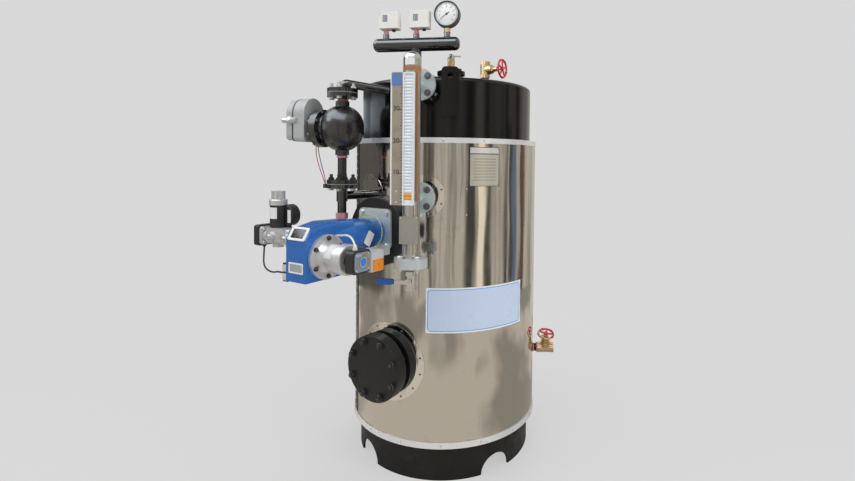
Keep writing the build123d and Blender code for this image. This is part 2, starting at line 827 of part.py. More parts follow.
with BuildPart() as gas_solenoid:
    solenoid_foot = Plane(origin=(gas_body_left + solenoid_offset, gas_axis_y, gas_body_top))
    add_rod(solenoid_foot, solenoid_radius, solenoid_height)
    add_rod(solenoid_foot.offset(solenoid_height), solenoid_cap_radius, solenoid_cap_height)
    fillet(gas_solenoid.edges().sort_by(Axis.Z)[-1], solenoid_cap_round)
    knob_foot = solenoid_foot.offset(solenoid_height + solenoid_cap_height)
    add_rod(knob_foot, solenoid_knob_radius, solenoid_knob_height)
    with Locations(knob_foot):
        with PolarLocations(solenoid_knob_radius, solenoid_knob_flutes):
            Cylinder(solenoid_flute_radius, solenoid_knob_height, align=bottom_align, mode=Mode.SUBTRACT)
save(gas_solenoid, "gas_solenoid")

with BuildPart() as gas_actuator:
    actuator_x = gas_body_left + actuator_offset
    drum_plane = Plane(
        origin=(actuator_x, gas_axis_y + actuator_setback - actuator_depth / 2, actuator_height),
        x_dir=(1, 0, 0), z_dir=(0, 1, 0),
    )
    add_rod(drum_plane, actuator_radius, actuator_depth)
    fillet(gas_actuator.edges().filter_by(GeomType.CIRCLE), actuator_round)
    neck_foot = Plane(origin=(actuator_x, gas_axis_y + actuator_neck_setback, gas_body_top))
    add_rod(neck_foot, actuator_neck_radius, actuator_rise)
    solenoid_axis = Plane(origin=(gas_body_left + solenoid_offset, gas_axis_y, gas_body_top))
    add_rod(solenoid_axis, solenoid_cap_radius + seat, 2 * solenoid_height, Mode.SUBTRACT)
save(gas_actuator, "gas_actuator")

with BuildPart() as gas_pressure_switch:
    with BuildSketch(gas_plane):
        RectangleRounded(gas_switch_width, gas_switch_height, gas_switch_corner)
    extrude(amount=-gas_switch_thickness)
    fillet(gas_pressure_switch.faces().sort_by(Axis.X)[0].edges(), gas_switch_edge)
    gland_x = gas_body_left - gas_switch_thickness / 2
    gland_plane = Plane(origin=(gland_x, gas_axis_y, gas_axis_height), z_dir=(0, 0, -1))
    add_rod(gland_plane, gland_radius, gas_gland_drop)
save(gas_pressure_switch, "gas_pressure_switch")

with BuildPart() as gas_pipe:
    pipe_plane = Plane(origin=(gas_body_right, gas_axis_y, gas_axis_height), x_dir=(0, 1, 0), z_dir=(1, 0, 0))
    gas_pipe_length = -gas_boss_end - gas_body_right
    add_rod(pipe_plane, gas_pipe_radius, gas_pipe_length)
    add_hex(pipe_plane.offset((gas_pipe_length - gas_union_length) / 2), gas_union_radius, gas_union_length)
save(gas_pipe, "gas_pipe")

# Level gauge: float column on two flanged arms, with its flap rail, scale and drain.
column_foot = level_plane(gauge_azimuth, gauge_radius, column_bottom)
with BuildPart() as gauge_column:
    add_rod(column_foot, column_radius, column_top - column_bottom)
    fillet(gauge_column.edges().sort_by(Axis.Z)[-1], column_cap_height)
    add_pipe_flange(column_foot)
    for height in (gauge_upper_height, gauge_lower_height):
        arm_plane = radial_plane(gauge_azimuth, gauge_face, height)
        add_rod(arm_plane, pipe_radius, gauge_radius - gauge_face)
        add_pipe_flange(arm_plane)
save(gauge_column, "gauge_column")

with BuildPart() as gauge_bottom_flange:
    add_pipe_flange(column_foot.offset(-pipe_flange_thickness))
    drain_boss_foot = column_foot.offset(-pipe_flange_thickness - drain_boss_length)
    add_rod(drain_boss_foot, drain_boss_radius, drain_boss_length)
save(gauge_bottom_flange, "gauge_bottom_flange")

rail_face = gauge_radius + column_radius + seat
with BuildPart() as gauge_rail:
    with BuildSketch(radial_plane(gauge_azimuth, rail_face, rail_bottom + rail_height / 2)):
        Rectangle(rail_width, rail_height)
    extrude(amount=rail_depth)
    with BuildSketch(radial_plane(gauge_azimuth, rail_face + rail_depth, rail_bottom + rail_height / 2)):
        Rectangle(rail_width - 2 * rail_lip, rail_height - 2 * rail_lip)
    extrude(amount=-rail_recess, mode=Mode.SUBTRACT)
save(gauge_rail, "gauge_rail")

with BuildPart() as gauge_scale:
    scale_offset = -(rail_width + scale_width) / 2
    scale_back = rail_face + rail_depth - scale_thickness
    with BuildSketch(radial_plane(gauge_azimuth, scale_back, rail_bottom + rail_height / 2)):
        with Locations((scale_offset, 0)):
            RectangleRounded(scale_width, rail_height, scale_corner)
    extrude(amount=scale_thickness)
save(gauge_scale, "gauge_scale")

with BuildPart() as gauge_nozzles:
    for height in (gauge_upper_height, gauge_lower_height):
        add_pipe_flange(radial_plane(gauge_azimuth, nozzle_back, height))
        nozzle_root = radial_plane(gauge_azimuth, shell_radius - root_depth, height)
        add_rod(nozzle_root, nozzle_radius, nozzle_back - shell_radius + root_depth)
    tee_turn = radians(gauge_azimuth)
    tee_plane = Plane(
        origin=radial_plane(gauge_azimuth, (nozzle_back + shell_radius) / 2, gauge_upper_height).origin,
        z_dir=(cos(tee_turn), sin(tee_turn), -1),
    )
    add_rod(tee_plane, tee_plug_radius, nozzle_radius + tee_plug_length)
    clear_cylinder(shell_radius)
save(gauge_nozzles, "gauge_nozzles")

drain_top_plane = level_plane(gauge_azimuth, gauge_radius, drain_top)
drain_stem_plane = radial_plane(gauge_azimuth, gauge_radius, drain_pivot_height)
with BuildPart() as drain_valve_body:
    add_rod(drain_top_plane.offset(-drain_body_length), drain_body_radius, drain_body_length)
    add_hex(drain_top_plane.offset(-drain_nut_length), drain_nut_radius, drain_nut_length)
    add_hex(drain_top_plane.offset(-drain_body_length), drain_nut_radius, drain_nut_length)
    add_rod(drain_stem_plane, drain_neck_radius, drain_neck_length)
    add_rod(drain_top_plane.offset(-drain_body_length), drain_bore_radius, drain_nut_length, Mode.SUBTRACT)
    add_rod(
        drain_stem_plane.offset(drain_neck_length - drain_stem_depth), drain_stem_radius + running_fit,
        drain_stem_depth, Mode.SUBTRACT,
    )
save(drain_valve_body, "drain_valve_body")

lever_plane = drain_stem_plane.offset(drain_neck_length + seat)
with BuildPart() as drain_valve_lever:
    stem_reach = drain_stem_depth + seat - stem_end_gap
    stem_length = stem_reach + lever_thickness + lever_nut_height
    add_rod(lever_plane.offset(-stem_reach), drain_stem_radius, stem_length)
    with BuildSketch(lever_plane):
        Circle(lever_eye_radius)
        blade_length = lever_length - lever_grip_length + lever_lap
        with Locations((-blade_length / 2, 0)):
            Rectangle(blade_length, lever_width)
    extrude(amount=lever_thickness)
    with BuildSketch(lever_plane.offset((lever_thickness - lever_grip_thickness) / 2)):
        with Locations((-lever_length + lever_grip_length / 2, 0)):
            SlotOverall(lever_grip_length, lever_grip_width)
    extrude(amount=lever_grip_thickness)
save(drain_valve_lever, "drain_valve_lever")

# Float controller: round chamber on a flanged pipe column, with its switch head.
float_centre = level_plane(float_azimuth, float_radius, float_height)
head_turn = radians(float_head_azimuth)
head_axis = Plane(
    origin=float_centre.origin,
    x_dir=(cos(head_turn), sin(head_turn), 0), z_dir=(sin(head_turn), -cos(head_turn), 0),
)
neck_axis = Plane(
    origin=head_axis.origin + Vector(0, 0, float_neck_rise), x_dir=head_axis.x_dir, z_dir=head_axis.z_dir
)
ring_split = float_ring_start + float_ring_thickness
with BuildPart() as float_chamber:
    add_rod(float_centre.offset(-float_waist / 2), float_ball_radius, float_waist)
    for rise in (-float_waist / 2, float_waist / 2):
        with Locations(float_centre.offset(rise)):
            Sphere(float_ball_radius)
    boss_reach = float_waist / 2 + float_ball_radius + float_boss_length
    add_rod(float_centre.offset(-boss_reach), float_boss_radius, 2 * boss_reach)
    upper_flange_plane = level_plane(float_azimuth, float_radius, float_upper_flange - pipe_flange_thickness)
    lower_flange_plane = level_plane(float_azimuth, float_radius, float_lower_flange)
    add_rod(lower_flange_plane, pipe_radius, upper_flange_plane.origin.Z - lower_flange_plane.origin.Z)
    add_pipe_flange(upper_flange_plane)
    add_pipe_flange(lower_flange_plane)
    add_rod(head_axis, float_throat_radius, float_ring_start)
    add_rod(head_axis.offset(float_ring_start), float_ring_radius, float_ring_thickness)
save(float_chamber, "float_chamber")

with BuildPart() as float_neck:
    add_rod(head_axis.offset(ring_split), float_ring_radius, float_ring_thickness)
    fin_start = ring_split + float_ring_thickness
    neck_length = float_fin_count * float_fin_pitch
    add_rod(neck_axis.offset(fin_start), float_fin_core_radius, neck_length)
    for number in range(float_fin_count):
        fin_end = fin_start + (number + 1) * float_fin_pitch
        add_rod(neck_axis.offset(fin_end - float_fin_thickness), float_fin_radius, float_fin_thickness)
save(float_neck, "float_neck")

head_start = ring_split + float_ring_thickness + float_fin_count * float_fin_pitch
with BuildPart() as float_switch_head:
    for start, length, shrink in (
        (head_start, switch_head_length - switch_head_lid, 0),
        (head_start + switch_head_length - switch_head_lid, switch_head_lid, switch_head_lid_step),
    ):
        half_width = switch_head_radius - shrink
        foot_drop = switch_head_foot - shrink
        with BuildSketch(neck_axis.offset(start)) as head_profile:
            with BuildLine():
                Line((half_width, switch_head_arc_rise), (half_width, -foot_drop))
                Line((half_width, -foot_drop), (-half_width, -foot_drop))
                Line((-half_width, -foot_drop), (-half_width, switch_head_arc_rise))
                CenterArc((0, switch_head_arc_rise), half_width, 180, -180)
            make_face()
            fillet(head_profile.vertices().group_by(Axis.Y)[0], switch_head_corner)
        extrude(amount=length)
    gland_origin = neck_axis.origin + Vector(0, 0, head_gland_rise)
    gland_axis = Plane(origin=gland_origin, x_dir=head_axis.x_dir, z_dir=head_axis.z_dir)
    add_hex(gland_axis.offset(head_start + switch_head_length), gland_radius, gland_length)
save(float_switch_head, "float_switch_head")

with BuildPart() as float_upper_pipe:
    entry_radius = shell_radius - root_depth
    entry = radial_plane(float_upper_entry_azimuth, entry_radius, float_upper_entry_height).origin
    flange_top = level_plane(float_azimuth, float_radius, float_upper_flange + pipe_flange_thickness)
    run_corner = level_plane(float_azimuth, float_radius, float_upper_run_height)
    with BuildLine() as upper_route:
        FilletPolyline(flange_top.origin, run_corner.origin, entry, radius=float_bend_radius)
    with BuildSketch(flange_top):
        Circle(pipe_radius)
    sweep(path=upper_route.line)
    add_pipe_flange(flange_top.offset(-pipe_flange_thickness))
    clear_cylinder(shell_radius)
save(float_upper_pipe, "float_upper_pipe")

with BuildPart() as float_lower_pipe:
    leg_top = level_plane(float_azimuth, float_radius, float_lower_flange - pipe_flange_thickness)
    leg_foot = level_plane(float_azimuth, float_radius, float_leg_bottom)
    add_pipe_flange(leg_top)
    add_rod(leg_foot, pipe_radius, leg_top.origin.Z - float_leg_bottom)
    tee_foot = level_plane(float_azimuth, float_radius, float_tee_height - float_tee_length / 2)
    add_rod(tee_foot, float_tee_radius, float_tee_length)
    branch = radial_plane(float_azimuth, shell_radius - root_depth, float_tee_height)
    add_rod(branch, pipe_radius, float_radius - shell_radius + root_depth)
    union_foot = level_plane(float_azimuth, float_radius, float_union_height - float_union_length / 2)
    add_hex(union_foot, float_union_radius, float_union_length)
    add_hex(leg_foot, float_plug_radius, float_plug_length)
    clip_x = (red_wire_route[-1][0] + blue_wire_route[-1][0]) / 2
    clip_y = (red_wire_route[-1][1] + blue_wire_route[-1][1]) / 2
    add_rod(Plane(origin=(clip_x, clip_y, leg_top.origin.Z)), wire_clip_radius, pipe_flange_thickness)
    clear_cylinder(shell_radius)
save(float_lower_pipe, "float_lower_pipe")

# Instrument header on its stand pipe, with two pressure switches and a dial gauge.
manifold_turn = radians(gauge_azimuth)


def socket_plane(offset, height):
    centre = level_plane(gauge_azimuth, manifold_radius, height)
    along = manifold_shift + offset
    return Plane(origin=centre.origin + centre.x_dir * along, x_dir=centre.x_dir, z_dir=(0, 0, 1))


manifold_centre = socket_plane(0, manifold_height)
with BuildPart() as instrument_manifold:
    header_plane = Plane(
        origin=manifold_centre.origin, x_dir=(0, 0, 1), z_dir=(cos(manifold_turn), sin(manifold_turn), 0)
    )
    with Locations(header_plane):
        Cylinder(manifold_pipe_radius, manifold_length)
    fillet(instrument_manifold.edges().filter_by(GeomType.CIRCLE), manifold_end_round)
    add_rod(socket_plane(0, head_top), stand_pipe_radius, manifold_rise)
    with Locations(manifold_centre):
        with Locations((-manifold_pitch, 0, 0), (0, 0, 0), (manifold_pitch, 0, 0)):
            Cylinder(manifold_socket_radius, manifold_socket_rise, align=bottom_align)
save(instrument_manifold, "instrument_manifold")


for offset, name in ((-manifold_pitch, "pressure_switch_left"), (0, "pressure_switch_right")):
    with BuildPart() as pressure_switch:
        foot = socket_plane(offset, manifold_socket_top)
        add_hex(foot, switch_nut_radius, switch_nut_length)
        add_rod(foot, switch_stem_radius, switch_stem_length)
        with Locations(socket_plane(offset + switch_box_shift, switch_box_bottom)):
            Box(switch_box_width, switch_box_depth, switch_box_height, align=bottom_align)
        upright_edges = pressure_switch.edges().filter_by(Axis.Z)
        fillet(upright_edges.filter_by(lambda edge: edge.center().Z > switch_box_bottom), switch_box_corner)
        box_front = radial_plane(gauge_azimuth, manifold_radius + switch_box_depth / 2, switch_box_bottom)
        with BuildSketch(box_front):
            window_x = manifold_shift + offset + switch_box_shift - switch_window_shift
            with Locations((window_x, switch_window_rise)):
                Rectangle(switch_window_width, switch_window_height)
        extrude(amount=-switch_window_depth, mode=Mode.SUBTRACT)
    save(pressure_switch, name)

with BuildPart() as pressure_gauge:
    foot = socket_plane(manifold_pitch, manifold_socket_top)
    add_hex(foot, dial_nut_radius, dial_nut_length)
    add_rod(foot, dial_stem_radius, dial_height - manifold_socket_top)
    dial_turn = radians(gauge_azimuth)
    dial_centre = socket_plane(manifold_pitch, dial_height).origin
    dial_back = Plane(
        origin=dial_centre,
        x_dir=(cos(dial_turn), sin(dial_turn), 0), z_dir=(sin(dial_turn), -cos(dial_turn), 0),
    ).offset(-dial_depth / 2)
    add_rod(dial_back, dial_radius, dial_depth)
    add_rod(dial_back.offset(dial_depth - dial_recess), dial_radius - dial_bezel, dial_recess, Mode.SUBTRACT)
save(pressure_gauge, "pressure_gauge")


# Gate valves: the flow runs along z of the plane and the stem along its x.
def add_gate_valve(plane):
    add_rod(plane.offset(-valve_length / 2), valve_barrel_radius, valve_length)
    add_hex(plane.offset(-valve_length / 2), valve_end_radius, valve_end_length)
    add_hex(plane.offset(valve_length / 2 - valve_end_length), valve_end_radius, valve_end_length)
    stem = Plane(origin=plane.origin, x_dir=plane.z_dir, z_dir=plane.x_dir)
    add_rod(stem, bonnet_radius, bonnet_reach)
    add_hex(stem.offset(bonnet_reach), bonnet_nut_radius, bonnet_nut_length)
    add_rod(stem.offset(bonnet_reach + bonnet_nut_length), packing_radius, packing_length)
    add_rod(stem.offset(bonnet_end - stem_depth), stem_radius + running_fit, stem_depth, Mode.SUBTRACT)
    thread_root = plane.offset(valve_length / 2 - valve_thread_depth)
    add_rod(thread_root, valve_bore_radius, valve_thread_depth, Mode.SUBTRACT)


def add_handwheel(plane, radius, reach):
    stem = Plane(origin=plane.origin, x_dir=plane.z_dir, z_dir=plane.x_dir)
    stem_start = bonnet_end - stem_depth + stem_end_gap
    add_rod(stem.offset(stem_start), stem_radius, reach - stem_start)
    wheel = stem.offset(reach)
    with Locations(wheel):
        Torus(radius - wheel_rim_radius, wheel_rim_radius)
        Cylinder(wheel_hub_radius, wheel_hub_length)
        with PolarLocations((radius + wheel_hub_radius) / 2 - wheel_rim_radius, wheel_spokes):
            Box(radius - wheel_hub_radius, wheel_spoke_width, wheel_spoke_thickness)
        with PolarLocations(radius - wheel_rim_radius, wheel_spokes, 180 / wheel_spokes):
            Sphere(wheel_lobe_radius)


top_valve_plane = Plane(origin=(top_valve_x, top_valve_y, top_valve_height), x_dir=(1, 0, 0), z_dir=(0, 0, 1))
with BuildPart() as top_valve_body:
    add_gate_valve(top_valve_plane)
    nipple_length = top_valve_rise - valve_length / 2
    add_rod(Plane(origin=(top_valve_x, top_valve_y, head_top)), top_nipple_radius, nipple_length)
save(top_valve_body, "top_valve_body")

with BuildPart() as top_valve_handwheel:
    add_handwheel(top_valve_plane, top_wheel_radius, top_wheel_reach)
save(top_valve_handwheel, "top_valve_handwheel")

blowdown_reach = jacket_radius + blowdown_nipple_length + valve_length / 2
blowdown_out = radial_plane(blowdown_azimuth, blowdown_reach, blowdown_height)
blowdown_lean = radians(blowdown_tilt)
blowdown_plane = Plane(
    origin=blowdown_out.origin,
    x_dir=blowdown_out.y_dir * cos(blowdown_lean) - blowdown_out.x_dir * sin(blowdown_lean),
    z_dir=blowdown_out.z_dir,
)
with BuildPart() as blowdown_valve_body:
    add_gate_valve(blowdown_plane)
    nipple_root = radial_plane(blowdown_azimuth, shell_radius - root_depth, blowdown_height)
    add_rod(nipple_root, blowdown_nipple_radius, root_depth + insulation + blowdown_nipple_length)
    clear_cylinder(shell_radius)
save(blowdown_valve_body, "blowdown_valve_body")

with BuildPart() as blowdown_handwheel:
    add_handwheel(blowdown_plane, blowdown_wheel_radius, blowdown_wheel_reach)
save(blowdown_handwheel, "blowdown_handwheel")

# Safety valve on its flanged stub.
safety_foot = level_plane(safety_azimuth, safety_radius, head_top)
with BuildPart() as safety_nozzle:
    add_rod(safety_foot, nozzle_radius, safety_stand)
    add_rod(safety_foot.offset(safety_stand), pipe_flange_radius, safety_flange_thickness)
save(safety_nozzle, "safety_nozzle")

with BuildPart() as safety_valve:
    safety_seat = safety_foot.offset(safety_stand + safety_flange_thickness)
    add_hex(safety_seat, safety_nut_radius, safety_nut_height)
    add_rod(safety_seat, safety_body_radius, safety_height)
    add_rod(safety_seat.offset(safety_height), safety_cap_radius, safety_cap_height)
    with Locations(safety_seat.offset(safety_height + safety_lever_rise)):
        with Locations((safety_lever_length / 2, 0, 0)):
            Box(safety_lever_length, safety_lever_width, safety_lever_thickness)
save(safety_valve, "safety_valve")


# Free leads: round tubes whose bends are as large as their runs allow.
def cord_radii(route):
    points = [Vector(*point) for point in route]
    radii = []
    for before, here, after in zip(points, points[1:], points[2:]):
        turn = (here - before).get_angle(after - here)
        shorter = min((here - before).length, (after - here).length)
        radii.append(0.45 * shorter / tan(radians(turn) / 2))
    return radii


for name, route, radius in (
    ("gas_valve_cable", cable_route, cable_radius),
    ("float_wire_red", red_wire_route, wire_radius),
    ("float_wire_blue", blue_wire_route, wire_radius),
    ("earth_wire", earth_wire_route, wire_radius),
    ("air_hose", hose_route, hose_radius),
):
    bends = cord_radii(route)
    with BuildPart() as cord:
        with BuildLine():
            path = FilletPolyline(*route, radius=bends)
        with BuildSketch(Plane(origin=path @ 0, z_dir=path % 0)):
            Circle(radius)
        sweep(path=path)
    print(name, "bends", [round(bend) for bend in bends], "length", round(path.length))
    print(name, "volume share", round(cord.part.volume / (pi * radius**2 * path.length), 4))
    save(cord, name)
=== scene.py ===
import bmesh
import bpy
import math
from mathutils import Matrix, Vector


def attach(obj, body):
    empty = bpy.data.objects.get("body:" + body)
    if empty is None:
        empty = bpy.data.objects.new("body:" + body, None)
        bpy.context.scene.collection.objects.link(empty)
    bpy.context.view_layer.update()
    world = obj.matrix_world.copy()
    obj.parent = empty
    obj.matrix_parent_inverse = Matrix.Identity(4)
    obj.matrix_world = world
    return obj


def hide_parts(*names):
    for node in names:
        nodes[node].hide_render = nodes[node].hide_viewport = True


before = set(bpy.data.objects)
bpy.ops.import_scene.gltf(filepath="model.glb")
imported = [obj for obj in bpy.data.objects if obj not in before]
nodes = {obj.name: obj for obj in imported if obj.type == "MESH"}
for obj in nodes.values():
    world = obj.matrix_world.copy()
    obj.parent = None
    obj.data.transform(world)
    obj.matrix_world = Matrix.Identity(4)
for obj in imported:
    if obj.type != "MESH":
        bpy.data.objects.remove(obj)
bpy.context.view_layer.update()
print("frame loaded with", len(nodes), "nodes")

bpy.context.scene.view_settings.view_transform = "Standard"
upright = (0, 0, 1)


# places: azimuths are degrees from the front towards the right, heights are from the floor
def outward(azimuth):
    turn = math.radians(azimuth)
    return Vector((math.sin(turn), -math.cos(turn), 0))


def sideways(azimuth):
    return outward(azimuth + 90)


def at(azimuth, out, height=0.0, across=0.0):
    return outward(azimuth) * out + sideways(azimuth) * across + Vector((0, 0, height))


def spotFrom(origin, right, up):  # a place whose x is right, y is up and z stands off the surface
    right, up = Vector(right).normalized(), Vector(up).normalized()
    spot = Matrix((right, up, right.cross(up))).transposed().to_4x4()
    spot.translation = Vector(origin)
    return spot


def seat(azimuth, place, face="out"):  # a place that faces out from the boiler, in, up or down
    side, out, rise = sideways(azimuth), outward(azimuth), Vector(upright)
    turned = {"out": (side, rise), "in": (-side, rise), "up": (side, -out), "down": (side, out)}
    return spotFrom(place, *turned[face])


def shifted(spot, across, up, off):
    return spot @ Matrix.Translation((across, up, off))


def bring(name, data):  # a new object at the origin
    made = bpy.data.objects.new(name, data)
    bpy.context.scene.collection.objects.link(made)
    return made


# the camera that took the photo, found from the jacket's rims and edges
cameraSetup = {
    "azimuth": 33.5, "distance": 2.28, "height": 1.241, "yawRight": 2.82, "pitchDown": 1.15, "roll": 0.6,
    "focalPixels": 497.7, "opticalCentre": (471.25, 170.35), "picture": (855, 481), "sensor": 36.0,
}


def placeCamera(azimuth, distance, height, yawRight, pitchDown, roll, focalPixels, opticalCentre, picture, sensor):
    lens = bpy.data.cameras.new("photoCamera")
    wide, high = picture
    lens.sensor_width = sensor
    lens.lens = focalPixels * sensor / wide
    lens.shift_x = (wide / 2 - opticalCentre[0]) / wide
    lens.shift_y = (opticalCentre[1] - high / 2) / wide
    view = Matrix.Translation(at(azimuth, distance, height))
    for angle, axis in ((azimuth - yawRight, "Z"), (90 - pitchDown, "X"), (roll, "Z")):
        view = view @ Matrix.Rotation(math.radians(angle), 4, axis)
    camera = bring("photoCamera", lens)
    camera.matrix_world = view
    bpy.context.scene.camera = camera


placeCamera(**cameraSetup)
print("camera placed")


# node helpers: a value that is a socket is linked, any other is set
def feed(tree, sockets, values):
    for label, value in values.items():
        if isinstance(value, bpy.types.NodeSocket):
            tree.links.new(value, sockets[label])
        else:
            sockets[label].default_value = value


def put(tree, kind, values=None, **fields):
    made = tree.nodes.new(kind)
    for field, value in fields.items():
        setattr(made, field, value)
    feed(tree, made.inputs, values or {})
    return made


def shade(tree, kind, values=None, out=0, **fields):
    return put(tree, "ShaderNode" + kind, values, **fields).outputs[out]


def calc(tree, operation, first, second=0.0):
    return shade(tree, "Math", {0: first, 1: second}, operation=operation)


def times(tree, first, *others):
    for other in others:
        first = calc(tree, "MULTIPLY", first, other)
    return first


def vector(tree, operation, first, second=(0, 0, 0), out=0):
    return shade(tree, "VectorMath", {0: first, 1: second}, out, operation=operation)


def blendColour(tree, factor, first, second):
    return shade(tree, "Mix", {0: factor, 6: first, 7: second}, 2, data_type="RGBA")


def blendValue(tree, factor, first, second):
    return shade(tree, "Mix", {0: factor, 2: first, 3: second}, data_type="FLOAT")


def spread(tree, value, low, high, toLow, toHigh):
    return shade(tree, "MapRange", {0: value, 1: low, 2: high, 3: toLow, 4: toHigh})


def noise(tree, place, scale, detail=2.0, rough=0.5):
    return shade(tree, "TexNoise", {"Vector": place, "Scale": scale, "Detail": detail, "Roughness": rough})


def objectPlace(tree):
    return shade(tree, "TexCoord", out="Object")


def opaque(colour):
    return (*colour, 1.0)


def startTree(kind, name, inputs, outputs):
    tree = bpy.data.node_groups.new(name, kind + "NodeTree")
    for side, rows in (("INPUT", inputs), ("OUTPUT", outputs)):
        for label, what, value in rows:
            socket = tree.interface.new_socket(label, in_out=side, socket_type="NodeSocket" + what)
            if value is not None:
                socket.default_value = value
    return tree, tree.nodes.new("NodeGroupInput").outputs, tree.nodes.new("NodeGroupOutput").inputs


# effects that several finishes share, each a group of its own
def grime(tree, place, scale, amount):  # soft patches with ragged rims
    patches = noise(tree, place, scale, 4.0, 0.6)
    specks = noise(tree, place, times(tree, scale, 9.0), 3.0, 0.7)
    mixed = calc(tree, "ADD", times(tree, patches, 0.75), times(tree, specks, 0.25))
    edge = calc(tree, "SUBTRACT", 0.72, times(tree, amount, 0.4))
    return spread(tree, mixed, edge, calc(tree, "ADD", edge, 0.18), 0.0, 1.0)


def grain(tree, place, stretch):  # fine lines, along whichever axis is stretched least
    return noise(tree, vector(tree, "MULTIPLY", place, stretch), 1.0, 3.0, 0.65)


def castSkin(tree, place, scale):  # sand-cast pimples and shallow pits
    pimples = noise(tree, place, scale, 2.0, 0.6)
    pits = shade(tree, "TexVoronoi", {"Vector": place, "Scale": scale}, feature="SMOOTH_F1")
    return calc(tree, "ADD", times(tree, pimples, 0.7), times(tree, pits, 0.5))


def sheetWaves(tree, place, scale):  # the slow buckles of thin sheet on a round shell
    slow = noise(tree, vector(tree, "MULTIPLY", place, (1.0, 1.0, 0.45)), scale, 1.5, 0.4)
    quick = noise(tree, vector(tree, "MULTIPLY", place, (1.0, 1.0, 0.13)), times(tree, scale, 4.5), 1.5)
    return calc(tree, "ADD", slow, times(tree, quick, 0.2))


def makeGroup(recipe, output, **inputs):
    rows = [("Vector", "Vector", None)]
    rows += [(label, "Float" if isinstance(value, float) else "Vector", value) for label, value in inputs.items()]
    tree, given, result = startTree("Shader", recipe.__name__, rows, [(output, "Float", None)])
    feed(tree, result, {output: recipe(tree, *(given[row[0]] for row in rows))})
    return tree


groups = {
    "grime": makeGroup(grime, "Mask", Scale=8.0, Amount=0.4), "grain": makeGroup(grain, "Value", Stretch=(1.0, 1.0, 1.0)),
    "castSkin": makeGroup(castSkin, "Height", Scale=400.0), "sheetWaves": makeGroup(sheetWaves, "Height", Scale=4.0),
}


def effect(tree, name, place, **values):
    made = put(tree, "ShaderNodeGroup", node_tree=groups[name])
    feed(tree, made.inputs, {"Vector": place, **values})
    return made.outputs[0]


def startFinish(name):
    material = bpy.data.materials.new(name)
    material.use_nodes = True
    return material, material.node_tree, material.node_tree.nodes["Principled BSDF"].inputs


# a finish has base and stain colours, a span of roughness and the kind of bump that it needs
def layFinish(tree, look):
    place = objectPlace(tree)
    mask = effect(tree, "grime", place, Scale=look["stainScale"], Amount=look["stain"])
    colour = blendColour(tree, mask, opaque(look["base"]), opaque(look["stained"]))
    if "grain" in look:
        uneven = effect(tree, "grain", place, Stretch=look["grain"])
        colour = blendColour(tree, times(tree, uneven, look["grainTint"]), colour, (0.1, 0.1, 0.1, 1))
    else:
        uneven = noise(tree, place, look["roughScale"], 3.0)
    height = None
    if "waves" in look:
        height = effect(tree, "sheetWaves", place, Scale=look["waves"])
    elif "cast" in look:
        height = effect(tree, "castSkin", place, Scale=look["cast"])
    elif "grain" in look:
        height = uneven
    elif "peel" in look:
        height = noise(tree, place, look["peel"], 1.0)
    return colour, spread(tree, uneven, 0.3, 0.7, *look["rough"]), height


def inZone(tree, zone):  # 1 on the far side of a plane, or beyond a radius about an axis
    place = objectPlace(tree)
    if "along" in zone:
        reach = vector(tree, "DOT_PRODUCT", place, zone["along"], "Value")
    else:
        away = vector(tree, "SUBTRACT", place, zone["centre"])
        reach = vector(tree, "LENGTH", vector(tree, "MULTIPLY", away, zone["plane"]), out="Value")
    inside = calc(tree, "GREATER_THAN", reach, zone["start"])
    return times(tree, inside, calc(tree, "LESS_THAN", reach, zone["end"])) if "end" in zone else inside


def makeFinish(name, look, zoneLook=None, zone=None):
    material, tree, shader = startFinish(name)
    colour, rough, height = layFinish(tree, look)
    metal = look["metal"]
    if zone:
        inside = inZone(tree, zone)
        zoneColour, zoneRough, zoneHeight = layFinish(tree, zoneLook)
        colour = blendColour(tree, inside, colour, zoneColour)
        rough = blendValue(tree, inside, rough, zoneRough)
        metal = blendValue(tree, inside, metal, zoneLook["metal"])
        if zoneHeight is not None:
            height = blendValue(tree, inside, height, zoneHeight)
    feed(tree, shader, {
        "Base Color": colour, "Roughness": rough, "Metallic": metal, "Specular IOR Level": look["spec"],
        "Coat Weight": look["coat"], "Coat Roughness": look["coatRough"]})
    if height is not None:
        bump = {"Height": height, "Distance": look["bump"], "Strength": look["bumpStrength"]}
        feed(tree, shader, {"Normal": shade(tree, "Bump", bump)})
    return material


def look(base, stained, rough, **more):
    usual = {"stain": 0.4, "stainScale": 12.0, "roughScale": 30.0, "metal": 0.0, "spec": 0.5, "coat": 0.0,
             "coatRough": 0.08, "bump": 0.0003, "bumpStrength": 0.5}
    return {**usual, "base": base, "stained": stained, "rough": rough, **more}


